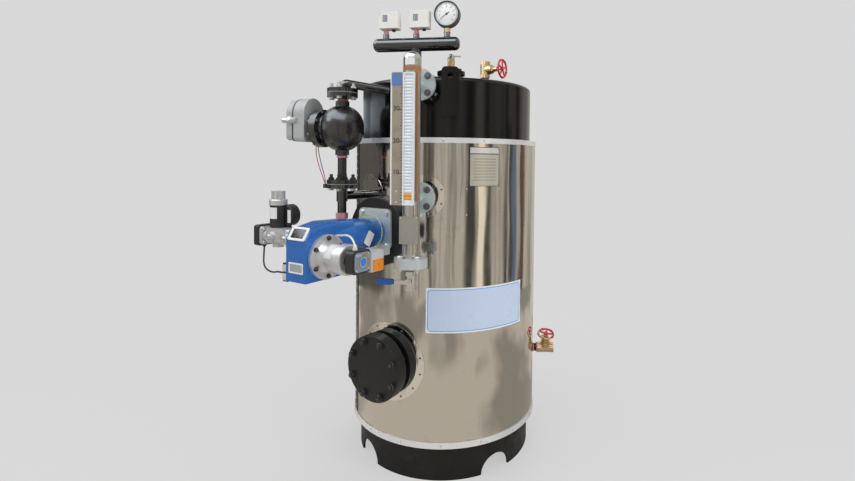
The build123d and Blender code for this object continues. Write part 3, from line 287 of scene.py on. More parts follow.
looks = {
    "polishedSheet": look((0.6, 0.57, 0.52), (0.5, 0.46, 0.4), (0.06, 0.13), stain=0.35, stainScale=5.0, roughScale=9.0,
                          metal=1.0, waves=3.2, bump=0.016, bumpStrength=0.6),
    "rosetteSteel": look((0.74, 0.72, 0.68), (0.6, 0.57, 0.52), (0.06, 0.14), metal=1.0, waves=11.0, bump=0.008,
                         bumpStrength=0.7),
    "seamDark": look((0.045, 0.045, 0.043), (0.3, 0.29, 0.27), (0.3, 0.5), stain=0.5, stainScale=70.0, metal=0.6),
    "bandSteel": look((0.8, 0.81, 0.82), (0.68, 0.68, 0.68), (0.26, 0.4), metal=0.5, peel=40.0, bump=0.0005),
    "blackEnamel": look((0.005, 0.005, 0.0055), (0.012, 0.011, 0.01), (0.08, 0.17), stain=0.3, stainScale=6.0, peel=260.0,
                        bump=0.0002, spec=0.36),
    "glossEnamel": look((0.005, 0.005, 0.0055), (0.012, 0.011, 0.01), (0.05, 0.12), stain=0.3, stainScale=9.0, peel=200.0,
                        bump=0.0002, spec=0.9, coat=0.9),
    "skirtEnamel": look((0.0085, 0.007, 0.006), (0.02, 0.016, 0.012), (0.42, 0.58), stainScale=7.0, peel=300.0, spec=0.3),
    "coverEnamel": look((0.012, 0.0122, 0.0125), (0.022, 0.022, 0.022), (0.3, 0.46), stain=0.3, stainScale=14.0,
                        peel=420.0, spec=0.36),
    "floatCasting": look((0.011, 0.0115, 0.0125), (0.03, 0.03, 0.03), (0.18, 0.32), stain=0.3, stainScale=20.0,
                         cast=300.0, bump=0.0006, spec=0.8, coat=0.4, coatRough=0.2),
    "burnerBlue": look((0.014, 0.13, 0.45), (0.01, 0.095, 0.36), (0.2, 0.3), stain=0.35, stainScale=10.0, peel=700.0,
                       bump=0.0002, coat=0.25),
    "castAluminium": look((0.64, 0.64, 0.65), (0.47, 0.47, 0.47), (0.3, 0.46), stain=0.5, stainScale=26.0, metal=0.62,
                          cast=500.0, bump=0.0004),
    "zincPlate": look((0.6, 0.68, 0.7), (0.48, 0.55, 0.57), (0.24, 0.4), stain=0.45, stainScale=18.0, metal=0.5, peel=120.0),
    "groundTube": look((0.64, 0.62, 0.59), (0.5, 0.48, 0.45), (0.16, 0.34), stain=0.3, metal=1.0, grain=(900.0, 900.0, 6.0),
                       grainTint=0.2, bump=0.00005),
    "darkSteel": look((0.2, 0.2, 0.2), (0.1, 0.09, 0.085), (0.35, 0.55), stain=0.5, metal=1.0, cast=420.0),
    "brass": look((0.72, 0.54, 0.32), (0.48, 0.34, 0.18), (0.28, 0.46), stain=0.42, stainScale=30.0, metal=1.0, cast=380.0,
                  bump=0.00025),
    "chrome": look((0.74, 0.72, 0.69), (0.55, 0.52, 0.46), (0.12, 0.26), stainScale=40.0, metal=1.0, peel=150.0),
    "wheelRed": look((0.62, 0.03, 0.045), (0.42, 0.016, 0.024), (0.26, 0.4), stainScale=30.0, cast=500.0, coat=0.2),
    "gripBlue": look((0.01, 0.09, 0.36), (0.008, 0.065, 0.26), (0.3, 0.45), peel=500.0, bump=0.0002),
    "blackPlastic": look((0.02, 0.02, 0.021), (0.045, 0.045, 0.045), (0.36, 0.52), stain=0.3, peel=1400.0, bump=0.0001),
    "greyPlastic": look((0.55, 0.56, 0.57), (0.45, 0.46, 0.46), (0.36, 0.5), peel=1200.0, bump=0.0001),
    "headGrey": look((0.42, 0.43, 0.43), (0.33, 0.34, 0.34), (0.34, 0.5), cast=520.0, bump=0.0004),
    "creamPlastic": look((0.8, 0.79, 0.73), (0.7, 0.68, 0.6), (0.3, 0.42), stain=0.25, peel=900.0, bump=0.0001),
    "railWhite": look((0.78, 0.82, 0.86), (0.66, 0.7, 0.74), (0.28, 0.42), peel=300.0, bump=0.0001),
    "flapWhite": look((0.82, 0.86, 0.9), (0.68, 0.73, 0.78), (0.3, 0.4)),
    "flapOrange": look((0.85, 0.34, 0.02), (0.7, 0.24, 0.01), (0.3, 0.4)),
    "scaleSheet": look((0.4, 0.34, 0.27), (0.3, 0.245, 0.19), (0.26, 0.4), stain=0.5, stainScale=9.0, metal=0.35,
                       grain=(700.0, 700.0, 9.0), grainTint=0.12, bump=0.00004),
    "tagSteel": look((0.47, 0.44, 0.38), (0.36, 0.33, 0.28), (0.26, 0.4), stainScale=30.0, metal=0.45,
                     grain=(90.0, 90.0, 420.0), grainTint=0.5, bump=0.00006),
    "paleLabel": look((0.8, 0.81, 0.8), (0.7, 0.7, 0.68), (0.35, 0.5), stain=0.35),
    "greyLabel": look((0.36, 0.37, 0.38), (0.28, 0.29, 0.3), (0.35, 0.5), stain=0.35),
    "blueLabel": look((0.09, 0.2, 0.48), (0.07, 0.15, 0.38), (0.35, 0.5)),
    "orangePlate": look((0.86, 0.26, 0.015), (0.7, 0.2, 0.01), (0.35, 0.5), stain=0.3),
    "inkBlack": look((0.02, 0.02, 0.022), (0.04, 0.04, 0.04), (0.4, 0.55)),
    "darkGlass": look((0.012, 0.013, 0.015), (0.03, 0.033, 0.035), (0.05, 0.12), coat=0.2),
    "windowGrey": look((0.24, 0.29, 0.36), (0.18, 0.22, 0.28), (0.08, 0.16), coat=0.5),
    "smokyCover": look((0.22, 0.25, 0.3), (0.16, 0.18, 0.22), (0.08, 0.16), coat=0.5),
    "dialBlue": look((0.04, 0.2, 0.62), (0.03, 0.14, 0.45), (0.3, 0.42)),
    "sealant": look((0.62, 0.2, 0.22), (0.72, 0.5, 0.5), (0.4, 0.6), stain=0.55, stainScale=120.0, cast=260.0, bump=0.0012),
    "tapeBrown": look((0.36, 0.16, 0.06), (0.27, 0.11, 0.04), (0.28, 0.42)),
    "dialPaper": look((0.84, 0.85, 0.85), (0.78, 0.78, 0.76), (0.4, 0.55), stain=0.25),
    "boltZinc": look((0.68, 0.69, 0.69), (0.5, 0.49, 0.46), (0.24, 0.4), stain=0.45, stainScale=60.0, metal=0.75),
    "boltBlack": look((0.02, 0.02, 0.021), (0.07, 0.065, 0.06), (0.26, 0.44), stainScale=60.0, coat=0.2),
    "rivetSteel": look((0.68, 0.67, 0.65), (0.5, 0.48, 0.45), (0.2, 0.36), metal=1.0),
    "cableBlack": look((0.02, 0.02, 0.02), (0.05, 0.05, 0.05), (0.4, 0.55), peel=900.0, bump=0.0002),
    "wireRed": look((0.62, 0.05, 0.06), (0.5, 0.04, 0.05), (0.34, 0.46)),
    "wireBlue": look((0.1, 0.13, 0.42), (0.08, 0.1, 0.34), (0.34, 0.46)),
    "hoseWhite": look((0.8, 0.79, 0.72), (0.7, 0.68, 0.6), (0.3, 0.42)),
}

boilerPlaces = {  # as in the CAD part, in degrees and metres
    "gaugeAzimuth": 21.5, "gaugeColumn": 0.58, "floatAzimuth": -16.5, "floatColumn": 0.526, "floatHeight": 1.359,
    "headAzimuth": -78.0, "drainAzimuth": 120.0, "drainHeight": 0.387, "drainSeat": 0.459, "drainTilt": 20.0,
}
gaugeAzimuth, headAzimuth, drainAzimuth = (boilerPlaces[name] for name in ("gaugeAzimuth", "headAzimuth", "drainAzimuth"))
gaugeFoot = at(gaugeAzimuth, boilerPlaces["gaugeColumn"])
floatFoot = at(boilerPlaces["floatAzimuth"], boilerPlaces["floatColumn"])
floatHeart = floatFoot + Vector((0, 0, boilerPlaces["floatHeight"]))
headAxis = outward(headAzimuth)
drainSpot = at(drainAzimuth, boilerPlaces["drainSeat"], boilerPlaces["drainHeight"])
drainTilt = math.radians(boilerPlaces["drainTilt"])
drainAxis = at(drainAzimuth, math.sin(drainTilt), math.cos(drainTilt))

# nodes with two finishes: the second one lies beyond a plane or a radius
zonedFinishes = {
    "columnSteel": ("groundTube", "zincPlate", {"centre": gaugeFoot, "plane": (1, 1, 0), "start": 0.0312}),
    "coilAndCap": ("blackPlastic", "castAluminium", {"along": upright, "start": 1.0658}),
    "gaugeCase": ("brass", "blackPlastic", {"along": upright, "start": 1.7535}),
    "switchCase": ("sealant", "creamPlastic", {"along": upright, "start": 1.7548}),
    "headAndGland": ("headGrey", "brass", {"along": headAxis, "start": headAxis.dot(floatFoot) + 0.2135}),
    "headerPipe": ("glossEnamel", "darkSteel", {"along": upright, "start": 1.7193}),
    "legPipe": ("glossEnamel", "sealant", {"along": upright, "start": 1.0095, "end": 1.0345}),
    "steamValve": ("darkSteel", "brass", {"along": upright, "start": 1.6165}),
    "drainValve": ("blackEnamel", "brass", {"centre": (0, 0, 0), "plane": (1, 1, 0), "start": 0.4215}),
    "topWheel": ("brass", "wheelRed", {"centre": (0, 0.094, 1.654), "plane": (0, 1, 1), "start": 0.0048}),
    "leverSteel": ("chrome", "gripBlue", {"along": -sideways(gaugeAzimuth), "start": 0.048}),
    "drainWheel": ("brass", "wheelRed", {"along": drainAxis, "start": drainAxis.dot(drainSpot) + 0.064}),
    "reliefValve": ("brass", "chrome", {"along": upright, "start": 1.663}),
    "airSwitch": ("blackPlastic", "dialBlue", {"along": (1, 0, 0), "start": 0.2016}),
}
finishes = {name: makeFinish(name, look) for name, look in looks.items()}
for name, (first, second, zone) in zonedFinishes.items():
    finishes[name] = makeFinish(name, looks[first], looks[second], zone)
print("finishes made:", len(finishes))

nodeFinishes = {
    "skirtEnamel": "skirt bottom_plate",
    "blackEnamel": "boiler_shell top_head flue_outlet lifting_lugs safety_nozzle",
    "coverEnamel": "hand_hole_neck hand_hole_cover burner_mount",
    "glossEnamel": "gauge_nozzles float_upper_pipe",
    "polishedSheet": "jacket", "bandSteel": "jacket_bands", "rosetteSteel": "jacket_rosettes",
    "zincPlate": "burner_plate gauge_bottom_flange", "burnerBlue": "burner_housing",
    "castAluminium": "burner_motor gas_valve_body", "airSwitch": "air_pressure_switch",
    "greyPlastic": "ignition_transformer", "blackPlastic": "burner_sockets gas_actuator gas_pressure_switch",
    "coilAndCap": "gas_solenoid", "darkSteel": "gas_pipe", "columnSteel": "gauge_column", "railWhite": "gauge_rail",
    "scaleSheet": "gauge_scale", "chrome": "drain_valve_body", "leverSteel": "drain_valve_lever",
    "floatCasting": "float_chamber float_neck", "headAndGland": "float_switch_head", "legPipe": "float_lower_pipe",
    "headerPipe": "instrument_manifold", "switchCase": "pressure_switch_left pressure_switch_right",
    "gaugeCase": "pressure_gauge", "steamValve": "top_valve_body", "topWheel": "top_valve_handwheel",
    "drainValve": "blowdown_valve_body", "drainWheel": "blowdown_handwheel", "reliefValve": "safety_valve",
    "cableBlack": "gas_valve_cable", "wireRed": "float_wire_red", "wireBlue": "float_wire_blue earth_wire",
    "hoseWhite": "air_hose",
}
for finish, names in nodeFinishes.items():
    for name in names.split():
        nodes[name].data.materials.clear()
        nodes[name].data.materials.append(finishes[finish])
print("CAD nodes dressed with", len(nodeFinishes), "finishes")

earthStripe = {"yellow": (0.72, 0.6, 0.03, 1), "green": (0.1, 0.38, 0.06, 1), "scale": 55.0, "rough": (0.32, 0.46)}


def makeEarthWire(plan):  # yellow, with a green stripe that winds along it
    material, tree, shader = startFinish("earthWire")
    place = objectPlace(tree)
    wave = {"Vector": place, "Scale": plan["scale"], "Distortion": 1.0}
    stripe = spread(tree, shade(tree, "TexWave", wave, 1, bands_direction="DIAGONAL"), 0.45, 0.55, 0.0, 1.0)
    feed(tree, shader, {"Base Color": blendColour(tree, stripe, plan["yellow"], plan["green"]),
                        "Roughness": spread(tree, noise(tree, place, 200.0), 0.3, 0.7, *plan["rough"])})
    return material


finishes["earthWire"] = makeEarthWire(earthStripe)

# leads that hang free: the same routes as in the CAD part, with the float's two wires moved apart
leads = {
    "gasValveCable": {
        "node": "gas_valve_cable", "finish": "cableBlack", "radius": 0.003, "length": 0.416, "stiffness": "medium",
        "route": [(-0.403, -0.66, 0.9017), (-0.403, -0.663, 0.864), (-0.38, -0.68, 0.834), (-0.314, -0.713, 0.829),
                  (-0.238, -0.752, 0.839), (-0.17, -0.788, 0.854), (-0.12, -0.823, 0.869), (-0.08, -0.826, 0.87)],
    },
    "floatWireRed": {
        "node": "float_wire_red", "finish": "wireRed", "radius": 0.0016, "length": 0.195, "stiffness": "limp",
        "route": [(-0.2648, -0.5288, 1.3266), (-0.2653, -0.5305, 1.284), (-0.2577, -0.5349, 1.252),
                  (-0.2427, -0.5379, 1.22), (-0.2255, -0.5405, 1.19), (-0.2108, -0.5418, 1.165), (-0.2014, -0.5417, 1.1462)],
    },
    "floatWireBlue": {
        "node": "float_wire_blue", "finish": "wireBlue", "radius": 0.0016, "length": 0.196, "stiffness": "limp",
        "route": [(-0.267, -0.5236, 1.3266), (-0.2635, -0.5209, 1.284), (-0.255, -0.5217, 1.251),
                  (-0.241, -0.5247, 1.218), (-0.224, -0.5282, 1.187), (-0.2105, -0.5332, 1.163), (-0.2042, -0.5375, 1.1462)],
    },
    "earthWire": {
        "node": "earth_wire", "finish": "earthWire", "radius": 0.0016, "length": 0.26, "stiffness": "limp",
        "route": [(-0.062, -0.4884, 1.018), (-0.06, -0.503, 1.022), (-0.03, -0.512, 1.034), (0.005, -0.516, 1.036),
                  (0.038, -0.52, 1.03), (0.064, -0.526, 1.01), (0.082, -0.536, 0.985), (0.092, -0.552, 0.962),
                  (0.098, -0.575, 0.946), (0.098, -0.592, 0.9333)],
    },
    "airHose": {
        "node": "air_hose", "finish": "hoseWhite", "radius": 0.003, "length": 0.143, "stiffness": "medium",
        "route": [(0.061, -0.74, 0.992), (0.092, -0.744, 0.996), (0.126, -0.757, 1.002), (0.156, -0.771, 1.001),
                  (0.178, -0.779, 0.99), (0.184, -0.78, 0.9738)],
    },
}


def layLead(name, lead):
    curve = bpy.data.curves.new(name, "CURVE")
    curve.dimensions = "3D"
    spline = curve.splines.new("NURBS")
    spline.points.add(len(lead["route"]) - 1)
    for point, place in zip(spline.points, lead["route"]):
        point.co = (*place, 1.0)
    spline.order_u = 3
    spline.use_endpoint_u = True
    spline.resolution_u = 10
    curve.bevel_depth = lead["radius"]
    curve.bevel_resolution = 4
    curve.use_fill_caps = True
    curve.materials.append(finishes[lead["finish"]])
    piece = bring(name, curve)
    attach(piece, "boiler")
    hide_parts(lead["node"])


for name, lead in leads.items():
    layLead(name, lead)
print("leads laid:", len(leads))


# mesh helpers: each part of a piece is a maker and what it needs, and the piece is finished once
def addMesh(name, mesh, finish=None, sharp=32.0):
    mesh.name = name
    mesh.shade_smooth()
    mesh.set_sharp_from_angle(angle=math.radians(sharp))
    if finish:
        mesh.materials.clear()
        mesh.materials.append(finishes[finish])
    piece = bring(name, mesh)
    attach(piece, "boiler")
    return piece


def addPiece(name, finish, slot, *parts, sharp=32.0):
    form = bmesh.new()
    for make, *needs in parts:
        make(form, *needs)
    bmesh.ops.remove_doubles(form, verts=form.verts, dist=1e-6)
    bmesh.ops.recalc_face_normals(form, faces=form.faces)
    mesh = bpy.data.meshes.new(name)
    form.to_mesh(mesh)
    form.free()
    return addMesh(name, mesh, finish, sharp)


def loft(form, rings, caps=True):
    made = [[form.verts.new(point) for point in ring] for ring in rings]
    count = len(made[0])
    for low, high in zip(made, made[1:]):
        for step in range(count):
            after = (step + 1) % count
            form.faces.new((low[step], low[after], high[after], high[step]))
    if caps:
        form.faces.new(made[0])
        form.faces.new(made[-1])


def arc(centre, radius, start, sweep, steps):  # degrees
    turns = [math.radians(start + sweep * step / steps) for step in range(steps + 1)]
    return [Vector(centre) + radius * Vector((math.cos(turn), math.sin(turn))) for turn in turns]


def outlineRing(spot, outline, rise):
    return [spot @ Vector((x, y, rise)) for x, y in outline]


def lathe(form, spot, profile, steps=40, hollow=False):
    rings = [outlineRing(spot, arc((0, 0), radius, 0, 360, steps)[:-1], rise) for radius, rise in profile]
    loft(form, rings + rings[:1] if hollow else rings, not hollow)


def hoop(form, spot, near, far, low, high, steps=40):
    lathe(form, spot, [(near, low), (far, low), (far, high), (near, high)], steps, True)


def eased(form, spot, rows, caps):  # rounded rectangles, one after the other
    rings = []
    for (width, height, corner), inset, rise in rows:
        corner = max(corner - inset, 0.0002)
        right, top = width / 2 - inset - corner, height / 2 - inset - corner
        outline = []
        for start, side, up in ((0, 1, 1), (90, -1, 1), (180, -1, -1), (270, 1, -1)):
            outline += arc((side * right, up * top), corner, start, 90, 5)
        rings.append(outlineRing(spot, outline, rise))
    loft(form, rings, caps)


def slab(form, spot, size, corner, edge):  # a plate with rounded corners and an eased front edge
    plan, depth = (*size[:2], corner), size[2]
    eased(form, spot, ((plan, 0, 0), (plan, 0, depth - edge), (plan, edge, depth)), True)


def surround(form, spot, outer, inner, depth, edge):  # a plate with a rounded opening
    eased(form, spot, (
        (outer, 0, 0), (outer, 0, depth - edge), (outer, edge, depth), (inner, -edge, depth), (inner, 0, depth - edge),
        (inner, 0, 0), (outer, 0, 0)), False)


def wrapPatch(form, spot, radius, angles, rises, depth, steps=24):  # a sheet bent round the spot's own z axis
    far = radius + depth
    rings = []
    for around in arc((0, 0), 1, angles[0], angles[1] - angles[0], steps):
        rings.append([spot @ Vector((*(around * reach), rise)) for reach, rise in (
            (radius, rises[0]), (far, rises[0]), (far, rises[1]), (radius, rises[1]))])
    loft(form, rings)


def figures(form, text, size, spot, depth=0.0002):  # flat figures as a mesh, so that they can be placed
    curve = bpy.data.curves.new("figures", "FONT")
    curve.body = text
    curve.size = size
    curve.align_x = curve.align_y = "CENTER"
    curve.extrude = depth
    curve.resolution_u = 3
    holder = bring("figures", curve)
    mesh = bpy.data.meshes.new_from_object(holder)
    mesh.transform(spot)
    form.from_mesh(mesh)
    bpy.data.objects.remove(holder)
    bpy.data.curves.remove(curve)
    bpy.data.meshes.remove(mesh)


# node trees for what repeats
def geo(tree, kind, values, **fields):
    return put(tree, "GeometryNode" + kind, values, **fields).outputs[0]


def xyz(tree, x=0.0, y=0.0, z=0.0):
    return shade(tree, "CombineXYZ", {0: x, 1: y, 2: z})


def scaled(tree, shape, size):
    return geo(tree, "Transform", {"Geometry": shape, "Scale": size})


def turnAbout(tree, angle):
    return put(tree, "FunctionNodeAxisAngleToRotation", {"Axis": upright, "Angle": angle}).outputs[0]


def ownValue(tree, name, kind):
    return geo(tree, "InputNamedAttribute", {"Name": name}, data_type=kind)


def axisTurn(tree, seed):  # z along the point's own axis, with a turn about it that differs from point to point
    aimed = put(tree, "FunctionNodeAlignRotationToVector", {"Vector": ownValue(tree, "axis", "FLOAT_VECTOR")}, axis="Z")
    loose = put(tree, "FunctionNodeRandomValue", {2: 0.0, 3: 6.28, "Seed": seed}, data_type="FLOAT")
    spin = turnAbout(tree, loose.outputs[1])
    return put(tree, "FunctionNodeRotateRotation", {0: aimed.outputs[0], 1: spin}, rotation_space="LOCAL").outputs[0]


def makeTree(recipe, **inputs):  # the recipe gives what is placed on the points, and how
    kinds = {int: "Int", float: "Float"}
    rows = [("Geometry", "Geometry", None), *((label, kinds[type(value)], value) for label, value in inputs.items()),
            ("Material", "Material", None)]
    tree, given, result = startTree("Geometry", recipe.__name__, rows, [("Geometry", "Geometry", None)])
    placed = geo(tree, "InstanceOnPoints", {"Points": given["Geometry"], **recipe(tree, given)})
    real = geo(tree, "RealizeInstances", {"Geometry": placed})
    feed(tree, result, {"Geometry": geo(tree, "SetMaterial", {"Geometry": real, "Material": given["Material"]})})
    return tree


def bolt(tree, given):  # washer, hexagon with a chamfered top and the stud's end
    corner = times(tree, given["Flats"], 0.5774)
    straight = times(tree, given["Height"], 0.78)
    thin = 0.0015
    washer = {"Vertices": 20, "Radius": given["Washer"], "Depth": thin}
    head = {"Vertices": 6, "Radius": corner, "Depth": straight}
    crown = {"Vertices": 6, "Radius Top": times(tree, corner, 0.84), "Radius Bottom": corner,
             "Depth": times(tree, given["Height"], 0.22)}
    stud = {"Vertices": 14, "Radius": given["Stud"], "Depth": given["Reach"]}
    above = calc(tree, "ADD", calc(tree, "ADD", thin, given["Height"]), times(tree, given["Reach"], 0.49))
    joined = tree.nodes.new("GeometryNodeJoinGeometry")
    for kind, values, rise in (
            ("MeshCylinder", stud, above), ("MeshCone", crown, calc(tree, "ADD", thin, straight)),
            ("MeshCylinder", head, calc(tree, "ADD", thin, times(tree, straight, 0.5))),
            ("MeshCylinder", washer, thin / 2)):
        lifted = {"Geometry": geo(tree, kind, values), "Translation": xyz(tree, z=rise)}
        tree.links.new(geo(tree, "Transform", lifted), joined.inputs[0])
    return {"Instance": joined.outputs[0], "Rotation": axisTurn(tree, given["Seed"])}


def rivet(tree, given):  # low domes
    ball = geo(tree, "MeshUVSphere", {"Segments": 12, "Rings": 6, "Radius": 1.0})
    dome = scaled(tree, ball, xyz(tree, given["Radius"], given["Radius"], given["Rise"]))
    return {"Instance": dome, "Rotation": axisTurn(tree, given["Seed"])}


def bar(tree, given):  # flat bars in the xy plane, turned and stretched by their own values
    cube = geo(tree, "MeshCube", {"Size": xyz(tree, given["Length"], given["Width"], given["Depth"])})
    return {"Instance": cube, "Rotation": turnAbout(tree, ownValue(tree, "turn", "FLOAT")),
            "Scale": xyz(tree, ownValue(tree, "grow", "FLOAT"), 1.0, 1.0)}


def flap(tree, given):  # rounded flaps stacked along y
    line = geo(tree, "MeshLine", {"Count": given["Count"], "Offset": xyz(tree, y=given["Pitch"])}, mode="OFFSET")
    roll = geo(tree, "MeshCylinder", {"Vertices": 14, "Radius": 0.5, "Depth": 1.0})
    lying = geo(tree, "Transform", {"Geometry": roll, "Rotation": (0, math.pi / 2, 0)})
    size = xyz(tree, given["Width"], given["Height"], given["Depth"])
    return {"Points": line, "Instance": scaled(tree, lying, size)}


trees = {
    "bolt": makeTree(bolt, Flats=0.019, Height=0.008, Washer=0.013, Stud=0.006, Reach=0.006, Seed=3),
    "rivet": makeTree(rivet, Radius=0.003, Rise=0.0016, Seed=5),
    "bar": makeTree(bar, Length=0.004, Width=0.0005, Depth=0.0003),
    "flap": makeTree(flap, Count=30, Pitch=0.01, Width=0.02, Height=0.009, Depth=0.004),
}


def runTree(kind, finish, settings, places=(), **values):
    mesh = bpy.data.meshes.new("treePoints")
    mesh.from_pydata([tuple(place) for place in places], [], [])
    for field, numbers in values.items():
        if field == "axis":
            layer = mesh.attributes.new(field, "FLOAT_VECTOR", "POINT")
            layer.data.foreach_set("vector", [part for axis in numbers for part in axis])
        else:
            mesh.attributes.new(field, "FLOAT", "POINT").data.foreach_set("value", numbers)
    holder = bring("treeHolder", mesh)
    modifier = holder.modifiers.new("tree", "NODES")
    modifier.node_group = trees[kind]
    settings = {**settings, "Material": finishes[finish]}
    for item in trees[kind].interface.items_tree:
        if item.in_out == "INPUT" and item.name in settings:
            modifier[item.identifier] = settings[item.name]
    graph = bpy.context.evaluated_depsgraph_get()
    made = bpy.data.meshes.new_from_object(holder.evaluated_get(graph), depsgraph=graph)
    holder.modifiers.remove(modifier)
    bpy.data.objects.remove(holder)
    bpy.data.meshes.remove(mesh)
    return made


def setRivets(name, finish, size, places, axes):
    axes = axes if isinstance(axes, list) else [axes] * len(places)
    addMesh(name, runTree("rivet", finish, {"Radius": size[0], "Rise": size[1]}, places, axis=axes))


def setBars(name, finish, size, spot, places, grows, turns=None):
    settings = dict(zip(("Length", "Width", "Depth"), size))
    made = runTree("bar", finish, settings, places, turn=turns or [0.0] * len(places), grow=grows)
    made.transform(spot)
    addMesh(name, made)


# every flange's bolts and nuts: finish, then the spot's azimuth, radius, height, offset to the side and face, then the
# circle's radius, count and first angle, then width across flats, height and the stud's reach
toCorner = math.sqrt(2)  # from half the side of a square of bolts
pipeBolts = {"nearCircle": (0.0425, 4, 45), "farCircle": (0.0425, 4, -45), "nut": (0.019, 0.008)}
near, far = [(*pipeBolts[circle], *pipeBolts["nut"]) for circle in ("nearCircle", "farCircle")]
fasteners = {
    "handHoleFront": ("boltBlack", (0, 0.494, 0.453, 0, "out"), (0.105, 8, 22.5, 0.024, 0.011, 0)),
    "handHoleBack": ("boltBlack", (0, 0.448, 0.453, 0, "in"), (0.105, 8, -22.5, 0.024, 0.011, 0)),
    "handHoleStuds": ("boltBlack", (0, 0.505, 0.453, 0, "out"), (0.105, 8, 22.5, 0.01584, 0.004, 0)),
    "gaugeUpperFront": ("darkSteel", (21.5, 0.486, 1.513, 0, "out"), (*near, 0)),
    "gaugeUpperBack": ("darkSteel", (21.5, 0.454, 1.513, 0, "in"), (*far, 0.006)),
    "gaugeLowerFront": ("darkSteel", (21.5, 0.486, 1.103, 0, "out"), (*near, 0)),
    "gaugeLowerBack": ("darkSteel", (21.5, 0.454, 1.103, 0, "in"), (*far, 0.006)),
    "gaugeFootTop": ("boltZinc", (21.5, 0.58, 0.905, 0, "up"), (*near, 0)),
    "gaugeFootUnder": ("boltZinc", (21.5, 0.58, 0.873, 0, "down"), (*far, 0.006)),
    "floatUpperTop": ("boltZinc", (-16.5, 0.526, 1.51, 0, "up"), (*near, 0.012)),
    "floatUpperUnder": ("boltZinc", (-16.5, 0.526, 1.478, 0, "down"), (*far, 0)),
    "floatLowerTop": ("boltBlack", (-16.5, 0.526, 1.161, 0, "up"), (*near, 0.012)),
    "floatLowerUnder": ("boltZinc", (-16.5, 0.526, 1.129, 0, "down"), (*far, 0)),
    "floatRingOuter": ("darkSteel", (-78.0, 0.104, 1.359, 0, "out"), (0.0645, 8, 22.5, 0.013, 0.006, 0.003)),
    "floatRingInner": ("boltBlack", (-78.0, 0.076, 1.359, 0, "in"), (0.0645, 8, 22.5, 0.013, 0.006, 0)),
    "burnerPlate": ("boltZinc", (0, 0.488, 0.982, 0, "out"), (0.059 * toCorner, 4, 45, 0.016, 0.007, 0)),
    "motor": ("boltBlack", (90, 0.0573, 0.927, -0.767, "out"), (0.061, 6, 30, 0.011, 0.006, 0)),
    "gasLeft": ("boltZinc", (90, -0.374, 0.948, -0.66, "out"), (0.026 * toCorner, 4, 45, 0.01, 0.005, 0)),
    "gasRight": ("boltZinc", (-90, 0.237, 0.948, 0.66, "out"), (0.026 * toCorner, 4, 45, 0.01, 0.005, 0)),
    "gasCapLeft": ("boltZinc", (0, 0.7, 0.948, -0.326, "out"), (0.0, 1, 0, 0.017, 0.004, 0)),
    "gasCapRight": ("boltZinc", (0, 0.7, 0.948, -0.245, "out"), (0.0, 1, 0, 0.017, 0.004, 0)),
    "safetyTop": ("boltBlack", (37.5, 0.205, 1.606, 0, "up"), (*near, 0)),
    "safetyUnder": ("boltBlack", (37.5, 0.205, 1.592, 0, "down"), (*far, 0.006)),
}
for number, (name, (finish, spot, ring)) in enumerate(fasteners.items()):
    azimuth, out, height, across, face = spot
    radius, count, start, flats, tall, reach = ring
    centre = at(azimuth, out, height, across) + (floatFoot if "floatRing" in name else Vector())
    spot = seat(azimuth, centre, face)
    places = outlineRing(spot, arc((0, 0), radius, start, 360, count)[:-1], 0)
    sizes = {"Flats": flats, "Height": tall, "Washer": flats * 0.66, "Stud": flats * 0.33 if reach else 0.0002,
             "Reach": max(reach, 0.0002), "Seed": number}
    addMesh(f"bolts{number:02d}", runTree("bolt", finish, sizes, places, axis=[spot.col[2].xyz] * count))
print("bolts set:", sum(ring[1] for finish, spot, ring in fasteners.values()))

# jacket: lapped seams, screws in the bands and in the rosettes
jacketTrim = {
    "seams": (-39.0, 141.0), "seamWidth": 10.0, "seamSheet": 0.0012, "seamHeights": (0.166, 1.304), "pitch": 0.03,
    "skin": 0.4003, "bandSkin": 0.4036, "bandHeights": (0.151, 1.316), "bandScrews": 16, "bandStart": 9.0,
    "rosettes": [(0.0, 0.453, 0.14, 14), (21.5, 1.103, 0.07, 8), (-16.5, 1.1, 0.07, 8)], "rosetteSheet": 0.0015,
    "seamRivet": (0.0038, 0.002), "bandScrew": (0.004, 0.0022), "rosetteScrew": (0.0042, 0.0022),
}


def skinRivets(name, finish, size, skin, rows):  # on the round skin, each by its azimuth and height
    setRivets(name, finish, size, [at(azimuth, skin, height) for azimuth, height in rows],
              [outward(azimuth) for azimuth, height in rows])


def dressJacket(trim):
    low, high = trim["seamHeights"]
    skin, sheet, half = trim["skin"], trim["seamSheet"], trim["seamWidth"] / 2
    addPiece("jacketSeams", "seamDark", "polished_stainless", *(
        (wrapPatch, Matrix(), skin, (seam - 90 - half, seam - 90 + half), (low, high), sheet, 8) for seam in trim["seams"]))
    heights = [low + (number + 0.5) * trim["pitch"] for number in range(int((high - low) / trim["pitch"]))]
    skinRivets("seamRivets", "rivetSteel", trim["seamRivet"], skin + sheet,
               [(seam, height) for seam in trim["seams"] for height in heights])
    turns = [trim["bandStart"] + 360 * number / trim["bandScrews"] for number in range(trim["bandScrews"])]
    skinRivets("bandScrews", "rivetSteel", trim["bandScrew"], trim["bandSkin"],
               [(azimuth, height) for height in trim["bandHeights"] for azimuth in turns])
    skin += trim["rosetteSheet"]
    rows = []
    for azimuth, height, radius, count in trim["rosettes"]:
        for across, up in arc((0, 0), radius, 180 / count, 360, count)[:-1]:
            rows.append((azimuth + math.degrees(math.asin(across / skin)), height + up))
    skinRivets("rosetteScrews", "darkSteel", trim["rosetteScrew"], skin, rows)


dressJacket(jacketTrim)
print("jacket trimmed")

